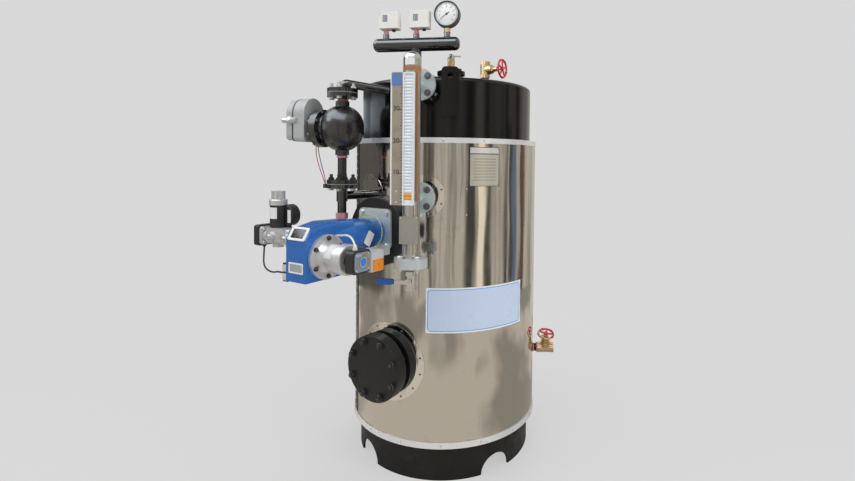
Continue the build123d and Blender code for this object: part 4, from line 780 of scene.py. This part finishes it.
# plates and stickers on the jacket, drawn on their own UV map
jacketPlates = {
    "sticker": {"azimuths": (22.8, 83.0), "heights": (0.583, 0.755), "size": (0.42, 0.172), "edge": (0.82, 0.86, 0.92, 1),
                "line": (0.12, 0.36, 0.72, 1), "field": (0.58, 0.68, 0.86, 1), "slot": "cream_plastic"},
    "ratingPlate": {"azimuths": (46.0, 64.0), "heights": (1.142, 1.292), "size": (0.126, 0.15), "inset": 0.006,
                    "metal": (0.6, 0.57, 0.48, 1), "worn": (0.4, 0.38, 0.35, 1), "ink": (0.06, 0.06, 0.06, 1),
                    "header": (0.74, 0.72, 0.7, 1), "slot": "polished_stainless"},
    "patchSheet": {"azimuths": (43.5, 65.5), "heights": (1.026, 1.138), "inset": 0.007, "slot": "polished_stainless"},
}
plateSheet = {"skin": 0.4003, "depth": 0.0009, "rivet": (0.0032, 0.0018), "degreesPerMetre": 143}


def outsideFrame(tree, uv, size, inset, corner):  # distance outside a rounded rectangle, in metres
    over = []
    for side, length in zip(put(tree, "ShaderNodeSeparateXYZ", {0: uv}).outputs, size):
        away = calc(tree, "ABSOLUTE", times(tree, calc(tree, "SUBTRACT", side, 0.5), length))
        over.append(calc(tree, "MAXIMUM", calc(tree, "SUBTRACT", away, length / 2 - inset - corner), 0.0))
    squares = calc(tree, "ADD", *(times(tree, part, part) for part in over))
    return calc(tree, "SUBTRACT", calc(tree, "SQRT", squares), corner)


def makeStickerFinish(plan):
    material, tree, shader = startFinish("jacketSticker")
    away = outsideFrame(tree, shade(tree, "TexCoord", out="UV"), plan["size"], 0.007, 0.012)
    line = calc(tree, "LESS_THAN", calc(tree, "ABSOLUTE", away), 0.0016)
    mottle = noise(tree, objectPlace(tree), 22.0, 3.0)
    field = blendColour(tree, mottle, plan["field"], opaque(0.93 * part for part in plan["field"][:3]))
    plain = blendColour(tree, calc(tree, "GREATER_THAN", away, 0.0), field, plan["edge"])
    feed(tree, shader, {"Base Color": blendColour(tree, line, plain, plan["line"]),
                        "Roughness": spread(tree, mottle, 0.3, 0.7, 0.26, 0.38)})
    return material


def makeRatingFinish(plan):
    material, tree, shader = startFinish("ratingPlate")
    uv = shade(tree, "TexCoord", out="UV")
    across, up = put(tree, "ShaderNodeSeparateXYZ", {0: uv}).outputs[:2]
    lines = effect(tree, "grain", objectPlace(tree), Stretch=(60.0, 60.0, 900.0))

    def between(low, high):
        return times(tree, calc(tree, "GREATER_THAN", up, low), calc(tree, "LESS_THAN", up, high))

    rule = calc(tree, "LESS_THAN", calc(tree, "FRACT", times(tree, up, 13.0)), 0.14)
    inner = calc(tree, "LESS_THAN", calc(tree, "ABSOLUTE", calc(tree, "SUBTRACT", across, 0.5)), 0.38)
    border = calc(tree, "GREATER_THAN", outsideFrame(tree, uv, plan["size"], 0.002, 0.003), 0.0)
    ruled = calc(tree, "MAXIMUM", between(0.815, 0.84), times(tree, rule, inner, between(0.12, 0.76)))
    ink = calc(tree, "MAXIMUM", ruled, border)
    metal = blendColour(tree, times(tree, lines, 0.3), plan["metal"], plan["worn"])
    colour = blendColour(tree, calc(tree, "GREATER_THAN", up, 0.84), metal, plan["header"])
    feed(tree, shader, {"Base Color": blendColour(tree, ink, colour, plan["ink"]),
                        "Metallic": spread(tree, ink, 0.0, 1.0, 0.55, 0.2),
                        "Roughness": spread(tree, lines, 0.3, 0.7, 0.26, 0.42)})
    return material


def dressPlates(plates, sheet):
    finishes.update(sticker=makeStickerFinish(plates["sticker"]), ratingPlate=makeRatingFinish(plates["ratingPlate"]),
                    patchSheet=finishes["polishedSheet"])
    rows = []
    for name, plan in plates.items():
        (left, right), (low, high) = plan["azimuths"], plan["heights"]
        piece = addPiece(name, name, plan["slot"], (
            wrapPatch, Matrix(), sheet["skin"], (left - 90, right - 90), (low, high), sheet["depth"], 40))
        layer = piece.data.uv_layers.new(name="plate")
        for loop in piece.data.loops:
            x, y, z = piece.data.vertices[loop.vertex_index].co
            azimuth = math.degrees(math.atan2(x, -y))
            layer.data[loop.index].uv = (azimuth - left) / (right - left), (z - low) / (high - low)
        if "inset" in plan:
            up = plan["inset"]
            turn = up * sheet["degreesPerMetre"]
            rows += [(azimuth, height) for azimuth in (left + turn, right - turn) for height in (low + up, high - up)]
    skinRivets("plateRivets", "rivetSteel", sheet["rivet"], sheet["skin"] + sheet["depth"], rows)


dressPlates(jacketPlates, plateSheet)
print("plates on")

# burner: window, labels, switch cover, plugs and the plate on the transformer
burnerTrim = {
    "window": {"place": (0, -0.837, 1.0045), "slope": (0, 0.022, 0.035), "frame": (0.078, 0.046, 0.005), "depth": 0.0025,
               "opening": (0.058, 0.031, 0.003), "edge": 0.0006,
               "glass": {"offset": (0, 0, -0.0026), "size": (0.0605, 0.0325, 0.002), "corner": 0.002, "edge": 0.0005}},
    "label": {"place": (0, -0.848, 0.898), "frame": (0.066, 0.034, 0.003), "opening": (0.055, 0.024, 0.0015),
              "depth": 0.0012, "edge": 0.0003, "field": {"size": (0.0546, 0.0236, 0.0008), "corner": 0.0012, "edge": 0.0002}},
    "motorLabel": {"place": (0, -0.767, 0.927), "radius": 0.0442, "angles": (100.0, 172.0), "rises": (0.08, 0.112),
                   "depth": 0.0004},
    "tag": {"place": (0.0592, -0.58, 0.962), "turn": -32.0, "size": (0.034, 0.05, 0.0004), "corner": 0.001,
            "edge": 0.0001},
    "switch": {"place": (0.2013, -0.767, 0.927), "frame": (0.068, 0.06, 0.013), "opening": (0.03, 0.03, 0.015),
               "depth": 0.003, "edge": 0.0006,
               "screws": [(-0.027, -0.023), (-0.027, 0.023), (0.027, -0.023), (0.027, 0.023)], "screw": (0.003, 0.0015),
               "dialRing": (0.0128, 0.0165, 0.0042, 0.0052),
               "bridge": {"offset": (-0.016, 0.021, 0.0028), "size": (0.024, 0.008, 0.0014), "corner": 0.002,
                          "edge": 0.0004},
               "contacts": [
                   {"offset": (0.008, 0.022, 0.0028), "size": (0.015, 0.009, 0.0015), "corner": 0.001, "edge": 0.0004},
                   {"offset": (0.025, -0.002, 0.0028), "size": (0.007, 0.02, 0.0015), "corner": 0.001, "edge": 0.0004},
               ]},
    "hoseEnd": {"place": (0.184, -0.78, 0.9636),
                "profile": [(0.0075, 0), (0.0075, 0.005), (0.005, 0.006), (0.0058, 0.011), (0.004, 0.0165)]},
    "plugs": {"places": [(-0.0583, -0.842, 0.863), (-0.0583, -0.842, 0.891)], "size": (0.019, 0.022, 0.003),
              "corner": 0.002, "edge": 0.001},
    "orange": {"place": (0.1363, -0.619, 0.885), "size": (0.054, 0.04, 0.0012), "corner": 0.002, "edge": 0.0003,
               "screw": (0.0022, 0.0012), "screws": [(0.0, 0.002), (-0.022, 0.015), (0.022, 0.015)]},
}


def sheetOn(spot, plan):
    return slab, shifted(spot, *plan.get("offset", (0, 0, 0))), plan["size"], plan["corner"], plan["edge"]


def frameOn(spot, plan):
    return surround, spot, plan["frame"], plan["opening"], plan["depth"], plan["edge"]


def wrapLabel(name, spot, plan):
    addPiece(name, "paleLabel", "cream_plastic",
             (wrapPatch, spot, plan["radius"], plan["angles"], plan["rises"], plan["depth"]))


def screwsOn(name, finish, spot, plan, depth):
    places = outlineRing(spot, plan["screws"], depth)
    setRivets(name, finish, plan["screw"], places, spot.col[2].xyz)


def dressBurner(trim):
    window = trim["window"]
    spot = spotFrom(window["place"], (1, 0, 0), window["slope"])
    addPiece("windowFrame", "paleLabel", "cream_plastic", frameOn(spot, window))
    addPiece("windowGlass", "darkGlass", "black_plastic", sheetOn(spot, window["glass"]))
    label = trim["label"]
    spot = seat(0, label["place"])
    addPiece("labelFrame", "paleLabel", "cream_plastic", frameOn(spot, label))
    addPiece("labelField", "greyLabel", "grey_plastic", sheetOn(spot, label["field"]))
    wrapLabel("motorLabel", seat(90, trim["motorLabel"]["place"]), trim["motorLabel"])
    tag = trim["tag"]
    spot = seat(90, tag["place"]) @ Matrix.Rotation(math.radians(tag["turn"]), 4, "Z")
    addPiece("tubeTag", "paleLabel", "cream_plastic", sheetOn(spot, tag))

    cover = trim["switch"]
    spot = seat(90, cover["place"])
    addPiece("switchCover", "smokyCover", "grey_plastic", frameOn(spot, cover))
    screwsOn("switchScrews", "boltZinc", spot, cover, cover["depth"])
    addPiece("switchDialRing", "boltZinc", "zinc_plate", (hoop, spot, *cover["dialRing"]), sheetOn(spot, cover["bridge"]))
    addPiece("switchContacts", "brass", "brass", *(sheetOn(spot, contact) for contact in cover["contacts"]))
    hose = trim["hoseEnd"]
    addPiece("hoseNozzle", "hoseWhite", "hose_white", (lathe, Matrix.Translation(hose["place"]), hose["profile"], 20))
    plugs = trim["plugs"]
    addPiece("socketPlugs", "greyPlastic", "grey_plastic", *(sheetOn(seat(0, place), plugs) for place in plugs["places"]))
    orange = trim["orange"]
    spot = seat(90, orange["place"])
    addPiece("orangePlate", "orangePlate", None, sheetOn(spot, orange))
    screwsOn("orangeScrews", "boltBlack", spot, orange, orange["size"][2])


dressBurner(burnerTrim)
print("burner dressed")

gasTrim = {
    "coilLabel": {"centre": (-0.322, -0.66, 0), "radius": 0.0301, "angles": (-142.0, -48.0), "rises": (1.016, 1.058),
                  "depth": 0.0003},
    "driveLabel": {"place": (-0.268, -0.6552, 1.025), "size": (0.017, 0.048, 0.0005), "corner": 0.0015, "edge": 0.0002},
    "switchLid": {"place": (-0.4182, -0.66, 0.948), "size": (0.058, 0.062, 0.0025), "corner": 0.006, "edge": 0.001},
}


def dressGasTrain(coilLabel, driveLabel, switchLid):
    wrapLabel("coilLabel", Matrix.Translation(coilLabel["centre"]), coilLabel)
    addPiece("driveLabel", "paleLabel", "cream_plastic", sheetOn(seat(0, driveLabel["place"]), driveLabel))
    addPiece("gasSwitchLid", "greyPlastic", "grey_plastic", sheetOn(seat(-90, switchLid["place"]), switchLid))


dressGasTrain(**gasTrim)
print("gas train dressed")

# level gauge: flaps in the rail, scale, tapes and tag, each placed by its offset to the side, radius and height
gaugeTrim = {
    "flaps": {"Width": 0.0262, "Pitch": 0.0106, "Height": 0.0098, "Depth": 0.0062},
    "flapRows": [("whiteFlaps", "flapWhite", 1.1355, 37), ("orangeFlaps", "flapOrange", 1.112, 2)], "flapOut": 0.6206,
    "stop": {"spot": (0, 0.6196, 1.098), "size": (0.0262, 0.014, 0.004), "corner": 0.003, "edge": 0.001},
    "ticks": {"spot": (-0.0205, 0.6256, 0), "foot": 1.1, "step": 0.0106, "count": 38, "size": (0.005, 0.0022, 0.0008),
              "fifth": 1.5, "tenth": 2.2},
    "numbers": {"10": (-0.041, 0.6258, 1.199), "20": (-0.041, 0.6258, 1.304), "30": (-0.041, 0.6258, 1.412)},
    "figureSize": 0.023, "figureDepth": 0.0004,
    "block": {"spot": (-0.04, 0.6254, 1.509), "size": (0.036, 0.042, 0.0005), "corner": 0.001, "edge": 0.0001},
    "edge": {"spot": (-0.0585, 0.6254, 1.3105), "size": (0.005, 0.443, 0.0004), "corner": 0.0005, "edge": 0.0001},
    "scaleScrews": {"spots": [(-0.04, 0.6256, 1.098), (-0.04, 0.6256, 1.134)], "size": (0.0036, 0.0016)},
    "tag": {"spot": (0, 0.6104, 1.002), "size": (0.066, 0.094, 0.0012), "corner": 0.003, "edge": 0.0003,
            "rivets": (0.028, 0.042), "rivet": (0.0025, 0.0014), "rules": 8, "rule": (0.05, 0.0016, 0.0005), "ruleTop": 0.032,
            "rulePitch": 0.008, "ruleShift": 0.003, "ruleShrink": 0.12},
    "tape": {"radii": (0.03035, 0.03095), "heights": (1.541, 1.558)},
    "strip": {"spot": (0.0232, 0.6003, 1.32), "size": (0.008, 0.44, 0.004), "corner": 0.001, "edge": 0.0004},
    "label": {"angles": (-105.0, -38.0), "rises": (1.561, 1.584), "radius": 0.0303, "depth": 0.0003},
}


def gaugeSpot(across, out, height):
    return seat(gaugeAzimuth, at(gaugeAzimuth, out, height, across))


def gaugePlate(plan):
    return sheetOn(gaugeSpot(*plan["spot"]), plan)


def dressGauge(trim):
    for name, finish, foot, count in trim["flapRows"]:
        made = runTree("flap", finish, {**trim["flaps"], "Count": count})
        made.transform(gaugeSpot(0, trim["flapOut"], foot))
        addMesh(name, made)
    addPiece("flapStop", "flapWhite", "white_rail", gaugePlate(trim["stop"]))

    ticks = trim["ticks"]
    grows = [ticks["tenth"] if number % 10 == 9 else ticks["fifth"] if number % 5 == 4 else 1.0
             for number in range(ticks["count"])]
    places = [(-ticks["size"][0] / 2 * grow, ticks["foot"] + ticks["step"] * number, 0)
              for number, grow in enumerate(grows)]
    setBars("scaleTicks", "inkBlack", ticks["size"], gaugeSpot(*ticks["spot"]), places, grows)
    addPiece("scaleNumbers", "inkBlack", "scale_plate", *(
        (figures, text, trim["figureSize"], gaugeSpot(*spot), trim["figureDepth"])
        for text, spot in trim["numbers"].items()))
    addPiece("scaleBlock", "blueLabel", "scale_plate", gaugePlate(trim["block"]))
    addPiece("scaleEdge", "paleLabel", "scale_plate", gaugePlate(trim["edge"]))
    screws = trim["scaleScrews"]
    setRivets("scaleScrews", "boltZinc", screws["size"],
              [gaugeSpot(*spot).translation for spot in screws["spots"]], outward(gaugeAzimuth))

    tag = trim["tag"]
    addPiece("columnTag", "tagSteel", "polished_stainless", gaugePlate(tag))
    face = shifted(gaugeSpot(*tag["spot"]), 0, 0, tag["size"][2])
    steps = [number % 3 for number in range(tag["rules"])]
    places = [(-tag["ruleShift"] * step, tag["ruleTop"] - tag["rulePitch"] * number, 0)
              for number, step in enumerate(steps)]
    setBars("tagRules", "greyLabel", tag["rule"], face, places,
            [1.0 - tag["ruleShrink"] * step for step in steps])
    across, up = tag["rivets"]
    corners = [face @ Vector((side * across, rise * up, 0)) for side in (-1, 1) for rise in (-1, 1)]
    setRivets("tagRivets", "rivetSteel", tag["rivet"], corners, outward(gaugeAzimuth))

    tape, column = trim["tape"], Matrix.Translation(gaugeFoot)
    addPiece("columnTape", "tapeBrown", None, (hoop, column, *tape["radii"], *tape["heights"]),
             gaugePlate(trim["strip"]))
    wrapLabel("columnLabel", column, trim["label"])


dressGauge(gaugeTrim)
print("gauge dressed")

# instrument header: switch windows and glands, dial face and needle
headerTrim = {
    "windows": {"acrosses": (-0.17846, -0.05546), "height": 1.79328, "out": 0.3481, "size": (0.0195, 0.0265, 0.0017),
                "corner": 0.001, "edge": 0.0003, "ticks": 7, "tick": (0.004, 0.0006, 0.0004), "tickAcross": -0.004,
                "tickFoot": -0.009, "tickPitch": 0.003, "tickGrow": 1.6},
    "glands": {"acrosses": (-0.1496, -0.0266), "out": 0.325, "height": 1.7555,
               "profile": [(0.008, 0), (0.008, 0.005), (0.0062, 0.009)]},
    "dial": {"spot": (0.066, 0.3401, 1.805), "profile": [(0.0446, 0), (0.0446, 0.0006), (0.0442, 0.0008)], "start": 225.0,
             "sweep": -270.0, "numbers": "0 2 4 6 8 10 12 14 16", "numberRadius": 0.0285, "numberSize": 0.0085,
             "tickRadius": 0.0418, "tick": (0.0044, 0.0008, 0.0004), "ticksPerNumber": 4, "reading": 0.03,
             "tickRise": 0.0009, "tickGrow": 1.7, "numberRise": 0.0008,
             "needle": [(-0.012, -0.0013), (0.033, -0.0003), (0.033, 0.0003), (-0.012, 0.0013)],
             "needleRises": (0.0014, 0.002), "hub": [(0.004, 0.0008), (0.004, 0.0026), (0.003, 0.0032)]},
}


def dressHeader(windows, glands, dial):
    high, out = windows["height"], windows["out"]
    addPiece("switchWindows", "windowGrey", "grey_plastic", *(
        sheetOn(gaugeSpot(across, out, high), windows) for across in windows["acrosses"]))
    places = [at(gaugeAzimuth, glands["out"], glands["height"], across) for across in glands["acrosses"]]
    addPiece("switchGlands", "blackPlastic", "black_plastic", *(
        (lathe, seat(gaugeAzimuth, place, "down"), glands["profile"], 20) for place in places))
    foot = high + windows["tickFoot"]
    marks = [(across, number) for across in windows["acrosses"] for number in range(windows["ticks"])]
    setBars("windowTicks", "paleLabel", windows["tick"], gaugeSpot(0, out + windows["size"][2], 0),
            [(across + windows["tickAcross"], foot + windows["tickPitch"] * number, 0) for across, number in marks],
            [windows["tickGrow"] if number % 3 == 0 else 1.0 for across, number in marks])

    spot = gaugeSpot(*dial["spot"])
    numbers = dial["numbers"].split()
    steps = dial["ticksPerNumber"] * (len(numbers) - 1)
    rays = arc((0, 0), 1, dial["start"], dial["sweep"], steps)
    grows = [dial["tickGrow"] if number % dial["ticksPerNumber"] == 0 else 1.0 for number in range(steps + 1)]
    addPiece("dialFace", "dialPaper", "cream_plastic", (lathe, spot, dial["profile"], 64))
    reaches = [dial["tickRadius"] - dial["tick"][0] / 2 * grow for grow in grows]
    setBars("dialTicks", "inkBlack", dial["tick"], spot,
            [(*(ray * reach), dial["tickRise"]) for ray, reach in zip(rays, reaches)], grows,
            [math.radians(dial["start"] + dial["sweep"] * number / steps) for number in range(steps + 1)])
    addPiece("dialNumbers", "inkBlack", "gauge_case", *(
        (figures, text, dial["numberSize"], shifted(spot, *(ray * dial["numberRadius"]), dial["numberRise"]))
        for text, ray in zip(numbers, rays[::dial["ticksPerNumber"]])))
    aim = spot @ Matrix.Rotation(math.radians(dial["start"] + dial["sweep"] * dial["reading"]), 4, "Z")
    needle = [outlineRing(aim, dial["needle"], rise) for rise in dial["needleRises"]]
    addPiece("dialNeedle", "inkBlack", "gauge_case", (loft, needle), (lathe, spot, dial["hub"], 24))


dressHeader(**headerTrim)
print("header dressed")

# thread sealant squeezed out at the joints: where, how far along, how long, pipe radius and bulge
drainPipe = seat(drainAzimuth, (0, 0, boilerPlaces["drainHeight"]))
sealantRings = [
    (Matrix.Translation(floatFoot), 1.462, 0.007, 0.0169, 0.0035),
    (Matrix.Translation(floatFoot), 1.245, 0.011, 0.0169, 0.0045),
    (Matrix.Translation(gaugeFoot), 0.8592, 0.004, 0.0161, 0.0025),
    (Matrix.Translation(at(gaugeAzimuth, 0.327, 0, 0.066)), 1.735, 0.003, 0.0126, 0.0016),
    (drainPipe, 0.4003, 0.006, 0.0171, 0.004),
    (drainPipe, 0.4165, 0.0055, 0.0171, 0.0035),
]
sealantBead = [(0, 0), (0.8, 0.12), (1, 0.45), (0.7, 0.82), (0, 1)]  # shares of the bulge and of the length
addPiece("sealant", "sealant", None, *(
    (lathe, spot, [(radius + bulge * out, low + tall * along) for out, along in sealantBead], 36, True)
    for spot, low, tall, radius, bulge in sealantRings), sharp=60.0)
print("sealant laid")

# float switch: cable entry on the head, cooling fins on the neck, gaskets between the flanges
floatTrim = {
    "entry": {"along": 0.163, "across": 0.0625, "height": 0.029, "boss": [(0.01, 0), (0.0125, 0.004), (0.0125, 0.024)],
              "nut": [(0.0125, 0.024), (0.0145, 0.026), (0.0145, 0.036), (0.0125, 0.038)],
              "nose": [(0.0095, 0.0378), (0.0095, 0.05), (0.0105, 0.052), (0.0105, 0.06), (0.006, 0.066)]},
    "head": {"rise": 0.012, "half": 0.063, "foot": 0.063, "arcRise": 0.042, "corner": 0.018, "sunk": 0.003,
             "headSeal": ("inkBlack", "black_plastic", 0.1775, 0.1832, 0.0004),
             "headRim": ("headGrey", "grey_plastic", 0.1281, 0.1345, 0.0013)},
    "fins": {"alongs": (0.106, 0.1115, 0.117, 0.1225), "rise": 0.012, "radii": (0.043, 0.0475), "depth": 0.002},
    "gaskets": {"heights": (1.494, 1.145), "radii": (0.05, 0.0579), "depth": 0.0018},
}


def headSpot(along, rise, across=0.0):
    return seat(headAzimuth, floatHeart + at(headAzimuth, along, rise, across))


def archRing(head, along, grow):  # the head's outline, round on top with eased lower corners
    half, foot, corner = head["half"] + grow, head["foot"] + grow, head["corner"] + grow
    outline = arc((0, head["arcRise"]), half, 0, 180, 24)
    for side, start in ((-1, 180), (1, 270)):
        outline += arc((side * (half - corner), corner - foot), corner, start, 90, 6)
    return outlineRing(headSpot(along, head["rise"]), outline, 0)


def dressFloat(entry, head, fins, gaskets):
    spot = headSpot(entry["along"], entry["height"], entry["across"])
    addPiece("entryBoss", "headGrey", "grey_plastic", (lathe, spot, entry["boss"], 24))
    addPiece("cableEntry", "chrome", "brass", (lathe, spot, entry["nut"], 6), (lathe, spot, entry["nose"], 24))
    for name in ("headSeal", "headRim"):
        finish, slot, first, last, proud = head[name]
        rows = ((first, -head["sunk"]), (first, proud), (last, proud), (last, -head["sunk"]), (first, -head["sunk"]))
        addPiece(name, finish, slot, (loft, [archRing(head, along, grow) for along, grow in rows], False))
    addPiece("neckFins", "glossEnamel", "black_casting", *(
        (hoop, headSpot(along, fins["rise"]), *fins["radii"], 0, fins["depth"]) for along in fins["alongs"]))
    thick = gaskets["depth"] / 2
    addPiece("flangeGaskets", "greyLabel", "grey_plastic", *(
        (hoop, Matrix.Translation(floatFoot), *gaskets["radii"], height - thick, height + thick, 48)
        for height in gaskets["heights"]))


dressFloat(**floatTrim)
print("float switch dressed")

# what the polished metal mirrors: upright stripes all round, darker on the left, and sunlit and shaded ground
streakPlan = {"slide": (0.0, 0.0, 4.0), "stretch": (1.0, 1.0, 0.07), "scale": 1.7, "dark": (0.08, 0.076, 0.07, 1),
              "pale": (0.63, 0.59, 0.52, 1), "shadeAzimuth": -88.0, "shadeSpan": (1.8, 2.25), "shade": 0.1}
groundPlan = {"shade": (0.36, 0.335, 0.295, 1), "sun": (0.68, 0.625, 0.55, 1), "scale": 0.62}


def streakColour(tree):
    place = objectPlace(tree)
    moved = vector(tree, "ADD", vector(tree, "MULTIPLY", place, streakPlan["stretch"]), streakPlan["slide"])
    broad = spread(tree, noise(tree, moved, streakPlan["scale"], 2.5, 0.55), 0.36, 0.46, 0.0, 1.0)
    fine = spread(tree, noise(tree, moved, streakPlan["scale"] * 4.0, 1.0, 0.5), 0.55, 0.64, 1.0, 0.55)
    aim = vector(tree, "DOT_PRODUCT", place, outward(streakPlan["shadeAzimuth"]), "Value")
    dim = spread(tree, aim, *streakPlan["shadeSpan"], 1.0, streakPlan["shade"])
    return blendColour(tree, times(tree, broad, fine, dim), streakPlan["dark"], streakPlan["pale"])


def groundColour(tree):
    patches = spread(tree, noise(tree, objectPlace(tree), groundPlan["scale"], 3.0, 0.45), 0.46, 0.54, 0.0, 1.0)
    return blendColour(tree, patches, groundPlan["shade"], groundPlan["sun"])


# floor, backdrop, lamps and cards
studio = {
    "backdrop": (0.69, 0.69, 0.69, 1), "skyLight": 0.62, "floorHalf": 30.0,
    "floorShine": 0.72,  # share of the floor's own paleness, the rest takes shadow
    "floorFade": (1.2, 3.4),  # from here on outwards the floor is as plain as the backdrop
    "lampAim": (0, 0, 0.9),
    "lamps": [  # name, place, size, power, whether metal mirrors it
        ("keyLamp", (-2.6, -3.2, 3.4), (2.2, 2.6), 62.0, True), ("sideLamp", (3.6, -0.6, 2.4), (1.2, 3.0), 42.0, False),
        ("backLamp", (-1.0, 3.4, 3.2), (2.6, 2.0), 36.0, False), ("topLamp", (0.6, -0.8, 4.6), (2.4, 2.4), 30.0, True),
    ],
    # the cards are glowing sheets, no lamps, seen only in polished faces: they are painted reflections of the
    # surroundings. The cream card00, the pale card04 and card05 and the sky paint highlights, and the dark cards and
    # the ceiling paint dark surroundings
    "cards": [  # name, count, azimuths, radius and height of the lower and of the upper edge, colour
        ("streak", 36, (0, 360), (3.0, 0.0), (3.0, 2.3), streakColour),
        ("card00", 1, (69, 78), (2.95, 0.0), (2.95, 2.3), (1.15, 1.05, 0.86, 1)),
        ("card01", 1, (112, 117), (2.95, 0.1), (2.95, 2.3), (0.08, 0.08, 0.08, 1)),
        ("card02", 1, (117, 124), (2.95, 0.0), (2.95, 1.6), (0.15, 0.2, 0.3, 1)),
        ("card03", 1, (131, 142), (2.95, 0.1), (2.95, 2.3), (0.16, 0.1, 0.08, 1)),
        ("card04", 1, (-130, -84), (2.95, 1.5), (2.95, 1.8), (0.5, 0.57, 0.63, 1)),
        ("card05", 1, (-84, -40), (2.95, 1.5), (2.95, 1.8), (1.4, 1.6, 1.75, 1)),
        ("card06", 1, (-135, -40), (2.95, 1.8), (2.95, 2.3), (0.04, 0.04, 0.04, 1)),
        ("ground", 24, (0, 360), (0.5, 0.003), (3.2, 0.003), groundColour),
        ("sky", 8, (-70, 50), (3.0, 3.2), (1.6, 4.4), (3.4, 3.65, 3.95, 1)),
        ("ceiling", 12, (0, 360), (0.02, 4.4), (1.6, 4.4), (0.1, 0.1, 0.105, 1)),
    ],
}


def blankTree(owner):
    owner.use_nodes = True
    owner.node_tree.nodes.clear()
    return owner.node_tree


def mixShaders(tree, share, first, second):
    return shade(tree, "MixShader", {0: share, 1: first, 2: second})


def makeWorld(setup):
    world = bpy.context.scene.world = bpy.data.worlds.new("studio")
    tree = blankTree(world)
    rays = put(tree, "ShaderNodeLightPath").outputs
    mirrored = calc(tree, "MAXIMUM", rays["Is Glossy Ray"], rays["Is Transmission Ray"])
    seen = calc(tree, "MAXIMUM", rays["Is Camera Ray"], mirrored)
    plain = shade(tree, "Background", {"Color": setup["backdrop"], "Strength": 1.0})
    light = shade(tree, "Background", {"Color": (1, 1, 1, 1), "Strength": setup["skyLight"]})
    put(tree, "ShaderNodeOutputWorld", {"Surface": mixShaders(tree, seen, light, plain)})


def stagePiece(name, material, points):
    mesh = bpy.data.meshes.new(name)
    mesh.from_pydata(points, [], [(0, 1, 2, 3)])
    mesh.materials.append(material)
    piece = bring(name, mesh)
    return piece


def makeFloor(setup):
    material = bpy.data.materials.new("paleFloor")
    tree = blankTree(material)
    away = vector(tree, "LENGTH", objectPlace(tree), out="Value")
    share = spread(tree, away, *setup["floorFade"], setup["floorShine"], 1.0)
    seen = times(tree, shade(tree, "LightPath", out="Is Camera Ray"), share)
    coat, pale = (shade(tree, kind, {"Color": setup["backdrop"]}) for kind in ("BsdfDiffuse", "Emission"))
    put(tree, "ShaderNodeOutputMaterial", {"Surface": mixShaders(tree, seen, coat, pale)})
    half = setup["floorHalf"]
    stagePiece("floor", material, [(-half, -half, 0), (half, -half, 0), (half, half, 0), (-half, half, 0)])


def makeCards(name, count, azimuths, low, high, colour):  # seen in polished faces and nowhere else
    material = bpy.data.materials.new(name)
    tree = blankTree(material)
    # the emission is a painted reflection: the cards light nothing and show only in polished faces
    glow = shade(tree, "Emission", {"Color": colour(tree) if callable(colour) else colour})
    put(tree, "ShaderNodeOutputMaterial", {"Surface": glow})
    first, last = azimuths
    digits = len(str(count - 1))
    for number in range(count):
        left, right = (first + (last - first) * (number + side) / count for side in (0, 1))
        card = stagePiece(name if count == 1 else f"{name}{number:0{digits}d}", material,
                          [at(left, *low), at(right, *low), at(right, *high), at(left, *high)])
        card.visible_camera = card.visible_diffuse = card.visible_transmission = card.visible_shadow = False


def hangLamp(aim, name, place, size, power, mirrored):
    light = bpy.data.lights.new(name, "AREA")
    light.shape = "RECTANGLE"
    light.size, light.size_y = size
    light.energy = power
    holder = bring(name, light)
    holder.location = place
    holder.visible_glossy = mirrored
    holder.rotation_euler = (Vector(aim) - Vector(place)).to_track_quat("-Z", "Y").to_euler()


makeWorld(studio)
makeFloor(studio)
for card in studio["cards"]:
    makeCards(*card)
for lamp in studio["lamps"]:
    hangLamp(studio["lampAim"], *lamp)
print("studio lit")
